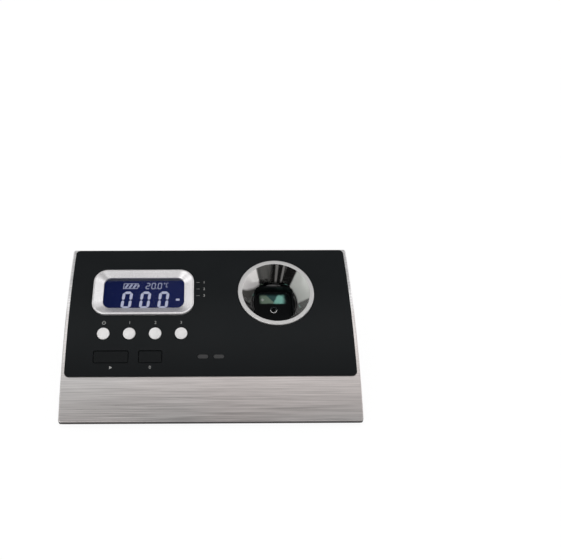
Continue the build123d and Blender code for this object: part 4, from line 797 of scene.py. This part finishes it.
def panel_prints():
    """Figures, ticks and symbols by the display, the buttons and the keys."""
    power = bmesh.new()
    start, end = math.radians(POWER_OPENING), math.radians(360 - POWER_OPENING)
    arc_strip(power, POWER_R, POWER_LINE, start, end, 24)
    bar(power, (0.0, POWER_BAR_V, 0.0), POWER_BAR, POWER_LINE, math.pi / 2)
    print_on_panel(power, "power_symbol", BUTTON_X[0], BUTTON_LABEL_S)
    for number, x in zip("123", BUTTON_X[1:]):
        print_on_panel(flat_figure(number), f"button_figure_{number}", x, BUTTON_LABEL_S)
    for number, distance in zip("123", TICK_S):
        label = f"display_figure_{number}"
        print_on_panel(flat_figure(number), label, TICK_LABEL_X, distance)
        tick = bmesh.new()
        bar(tick, (0.0, 0.0, 0.0), TICK_LENGTH, TICK_WIDTH)
        print_on_panel(tick, f"display_tick_{number}", TICK_X, distance)
    arrow = bmesh.new()
    bmesh.ops.create_circle(arrow, cap_ends=True, segments=3, radius=ARROW_R)
    bmesh.ops.rotate(arrow, verts=arrow.verts, matrix=Matrix.Rotation(-math.pi / 2, 3, "Z"))
    print_on_panel(arrow, "start_symbol", START_X, KEY_LABEL_S)
    print_on_panel(flat_figure("0"), "zero_figure", ZERO_X, KEY_LABEL_S)


def sensor_glass():
    """Dark glass disc inside the temperature sensor's metal rim."""
    disc = bmesh.new()
    bmesh.ops.create_circle(disc, cap_ends=True, segments=32, radius=SENSOR_FACE_R)
    raise_faces(disc, disc.faces[:], SENSOR_GLASS_DEPTH)
    place = Matrix.Translation((0.0, SENSOR_V, LIFT - SENSOR_FACE))
    glass = satin_black("sensor glass", 0.004, 0.05, 0.09, 3000.0, 0.000002)
    face = surface_frame(BOWL_X, BOWL_S) @ place
    keep(disc, "sensor_glass", face, "case", glass)


def key_mat():
    """Silicone mat: a slab with a dome below each key, which the key's stem presses flat."""
    keys = surface_frame(0.0, KEY_S)
    silicone = FINISHES["silicone"]
    slab = bmesh.new()
    bmesh.ops.create_cube(slab, size=1.0)
    bmesh.ops.scale(slab, vec=(MAT_W, MAT_D, MAT_BOTTOM - MAT_TOP), verts=slab.verts)
    corners = [edge for edge in slab.edges if edge.verts[0].co.xy == edge.verts[1].co.xy]
    bmesh.ops.bevel(
        slab, geom=corners, offset=MAT_CORNER, segments=5, affect="EDGES", profile=0.5, material=-1
    )
    middle = Matrix.Translation((MAT_X, 0.0, -(MAT_TOP + MAT_BOTTOM) / 2))
    sheet = keep(slab, "key_mat_slab", keys @ middle, "case", silicone)
    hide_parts("key_mat")

    height = MAT_TOP - DOME_TOP
    places = {"start_key": (START_X, KEY_V), "zero_key": (ZERO_X, KEY_V)}
    for button, x in zip(("power", "angle", "sugar", "scale"), BUTTON_X):
        places[f"{button}_button"] = (x, BUTTON_V)
    for key, (x, v) in places.items():
        dome = bmesh.new()
        bmesh.ops.create_cone(
            dome, cap_ends=True, segments=32, radius1=DOME_R, radius2=DOME_TOP_R, depth=height
        )
        rim = [edge for edge in dome.edges if min(vert.co.z for vert in edge.verts) > 0.0]
        bmesh.ops.bevel(
            dome, geom=rim, offset=DOME_EDGE, segments=3, affect="EDGES", profile=0.5, material=-1
        )
        foot = keys @ Matrix.Translation((x, v, -MAT_TOP))
        place = foot @ Matrix.Translation((0.0, 0.0, height / 2))
        piece = keep(dome, f"{key}_dome", place, "case", silicone)
        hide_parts("key_mat")
        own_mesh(piece)


display_signs()
panel_prints()
sensor_glass()
key_mat()


# The room's light: its level, and darker stretches low in front for the apron's lower edge
# and low behind for the frame's lower facet, each by its lean to the front, its outer and
# inner spread and its share of the level taken away
ROOM_LEVEL = 0.90
FRONT_STRETCH = (40.0, (30.0, 10.0), 0.85)
BACK_STRETCH = (-56.0, (32.0, 14.0), 0.75)

# The bowl's two walls mirror a hoop of the room: its axis leans to the front, its half angle
# and half width are in degrees, and its level is low apart from a few lit places, each by
# its azimuth from +X, its half width and its level
HOOP_LEAN = 22.0
HOOP_ANGLE = 46.0
HOOP_WIDTH = (9.0, 5.0)
HOOP_LEVEL = 0.02
NARROW_STREAK = (42.0, 9.0, 0.55)
BROAD_STREAK = (95.0, 14.0, 0.42)
LEFT_GLOW = (180.0, 22.0, 0.10)
FRONT_LEFT_BOX = (-124.0, 25.0, 3.2)
FRONT_RIGHT_BOX = (-78.0, 27.0, 1.0)

# The floor: half its side in metres, its glow where the camera sees it, and the share of that
# glow, which leaves the rest to the object's shadow
FLOOR_HALF = 6.0
FLOOR_GLOW = 1.09
FLOOR_GLOW_SHARE = 0.86

# The lamps: name, place and size in metres, and level
LAMPS = (
    ("top light", (0.0, 0.08, 1.2), (1.2, 0.44), 1.0),
    ("right light", (0.98, 0.22, 0.31), (0.7, 0.5), 1.3),
    ("left light", (-1.0, 0.1, 0.26), (0.6, 0.4), 1.0),
)

# The camera: its place, its turn, its lens and its sideways shift
EYE_PLACE = (-2.77, -295.39, 342.98)
EYE_TURN = (46.598, -0.083, -0.405)
EYE_LENS = 47.195
EYE_SHIFT = 0.1257


def stage():
    """Flat white floor, wider than any camera sees."""
    maker = bmesh.new()
    bmesh.ops.create_grid(maker, x_segments=1, y_segments=1, size=FLOOR_HALF)
    mesh = bpy.data.meshes.new("floor")
    maker.to_mesh(mesh)
    maker.free()
    floor = bpy.data.objects.new("floor", mesh)
    scene.collection.objects.link(floor)
    finish = Finish("floor white")
    seen = finish.node("ShaderNodeLightPath", output="Is Camera Ray")
    mottle = finish.noise(finish.place(), scale=8.0)
    paper = finish.node(
        "ShaderNodeBsdfPrincipled",
        {},
        {
            "Base Color": finish.blend(mottle, (0.64, 0.64, 0.64), (0.66, 0.66, 0.66)),
            "Roughness": 0.9,
            "Specular IOR Level": 0.0,
        },
    )
    white = finish.node(
        "ShaderNodeEmission", {}, {"Color": (1.0, 1.0, 1.0), "Strength": FLOOR_GLOW}
    )
    shader = finish.node(
        "ShaderNodeMixShader", {}, {0: seen * FLOOR_GLOW_SHARE, 1: paper, 2: white}
    )
    mesh.materials.append(finish.finish_with(shader))


def leaning(finish, direction, lean):
    """Degrees between a direction and an axis that leans to the front from straight up."""
    axis = Vector((0.0, -math.sin(math.radians(lean)), math.cos(math.radians(lean))))
    facing = finish.node(
        "ShaderNodeVectorMath",
        {"operation": "DOT_PRODUCT"},
        {0: direction, 1: axis},
        output="Value",
    )
    return facing.math("ARCCOSINE") * math.degrees(1.0)


def sky():
    """White where it is seen directly; as light, a pale room with flags and soft boxes."""
    world = bpy.data.worlds.new("studio")
    scene.world = world
    finish = Finish("studio", world)
    direction = finish.node("ShaderNodeTexCoord", output="Generated")
    room = ROOM_LEVEL
    for lean, spread, share in (FRONT_STRETCH, BACK_STRETCH):
        room = (1.0 - leaning(finish, direction, lean).between(*spread) * share) * room

    x = finish.split(direction)
    azimuth = x.part("Y").math("ARCTAN2", x) * math.degrees(1.0)
    hoop = HOOP_LEVEL
    lit = (NARROW_STREAK, BROAD_STREAK, LEFT_GLOW, FRONT_LEFT_BOX, FRONT_RIGHT_BOX)
    for place, half, level in lit:
        off = (azimuth - place).math("WRAP", 180.0, -180.0).math("ABSOLUTE")
        hoop = off.between(half, half * 0.6) * level + hoop
    off_hoop = (leaning(finish, direction, HOOP_LEAN) - HOOP_ANGLE).math("ABSOLUTE")
    on_hoop = off_hoop.between(*HOOP_WIDTH)
    room = room + (hoop - room) * on_hoop
    rays = finish.node("ShaderNodeLightPath", output="Is Camera Ray")
    strength = room + (1.0 - room) * rays
    background = finish.node(
        "ShaderNodeBackground", {}, {"Color": (1.0, 1.0, 1.0), "Strength": strength}
    )
    finish.finish_with(background, "ShaderNodeOutputWorld")


def soft_lamp(name, place, size, level):
    """Soft light aimed at the object: its width and height, and its level, where 1 is white."""
    data = bpy.data.lights.new(name, "AREA")
    data.shape = "RECTANGLE"
    data.size, data.size_y = size
    data.energy = level * math.pi * size[0] * size[1]
    lamp = bpy.data.objects.new(name, data)
    lamp.location = place
    lamp.rotation_mode = "QUATERNION"
    lamp.rotation_quaternion = (Vector() - Vector(place)).to_track_quat("-Z", "Y")
    scene.collection.objects.link(lamp)


def camera():
    """Viewpoint of the photograph, fitted to the panel's corners, the keys and the bowl."""
    data = bpy.data.cameras.new("camera")
    data.sensor_width = 36.0
    data.lens = EYE_LENS
    data.shift_x = EYE_SHIFT
    data.clip_start = 0.02
    eye = bpy.data.objects.new("camera", data)
    eye.location = Vector(EYE_PLACE) * MM
    eye.rotation_euler = Euler([math.radians(angle) for angle in EYE_TURN])
    scene.collection.objects.link(eye)
    scene.camera = eye


stage()
sky()
for lamp in LAMPS:
    soft_lamp(*lamp)
camera()
scene.view_settings.view_transform = "Standard"
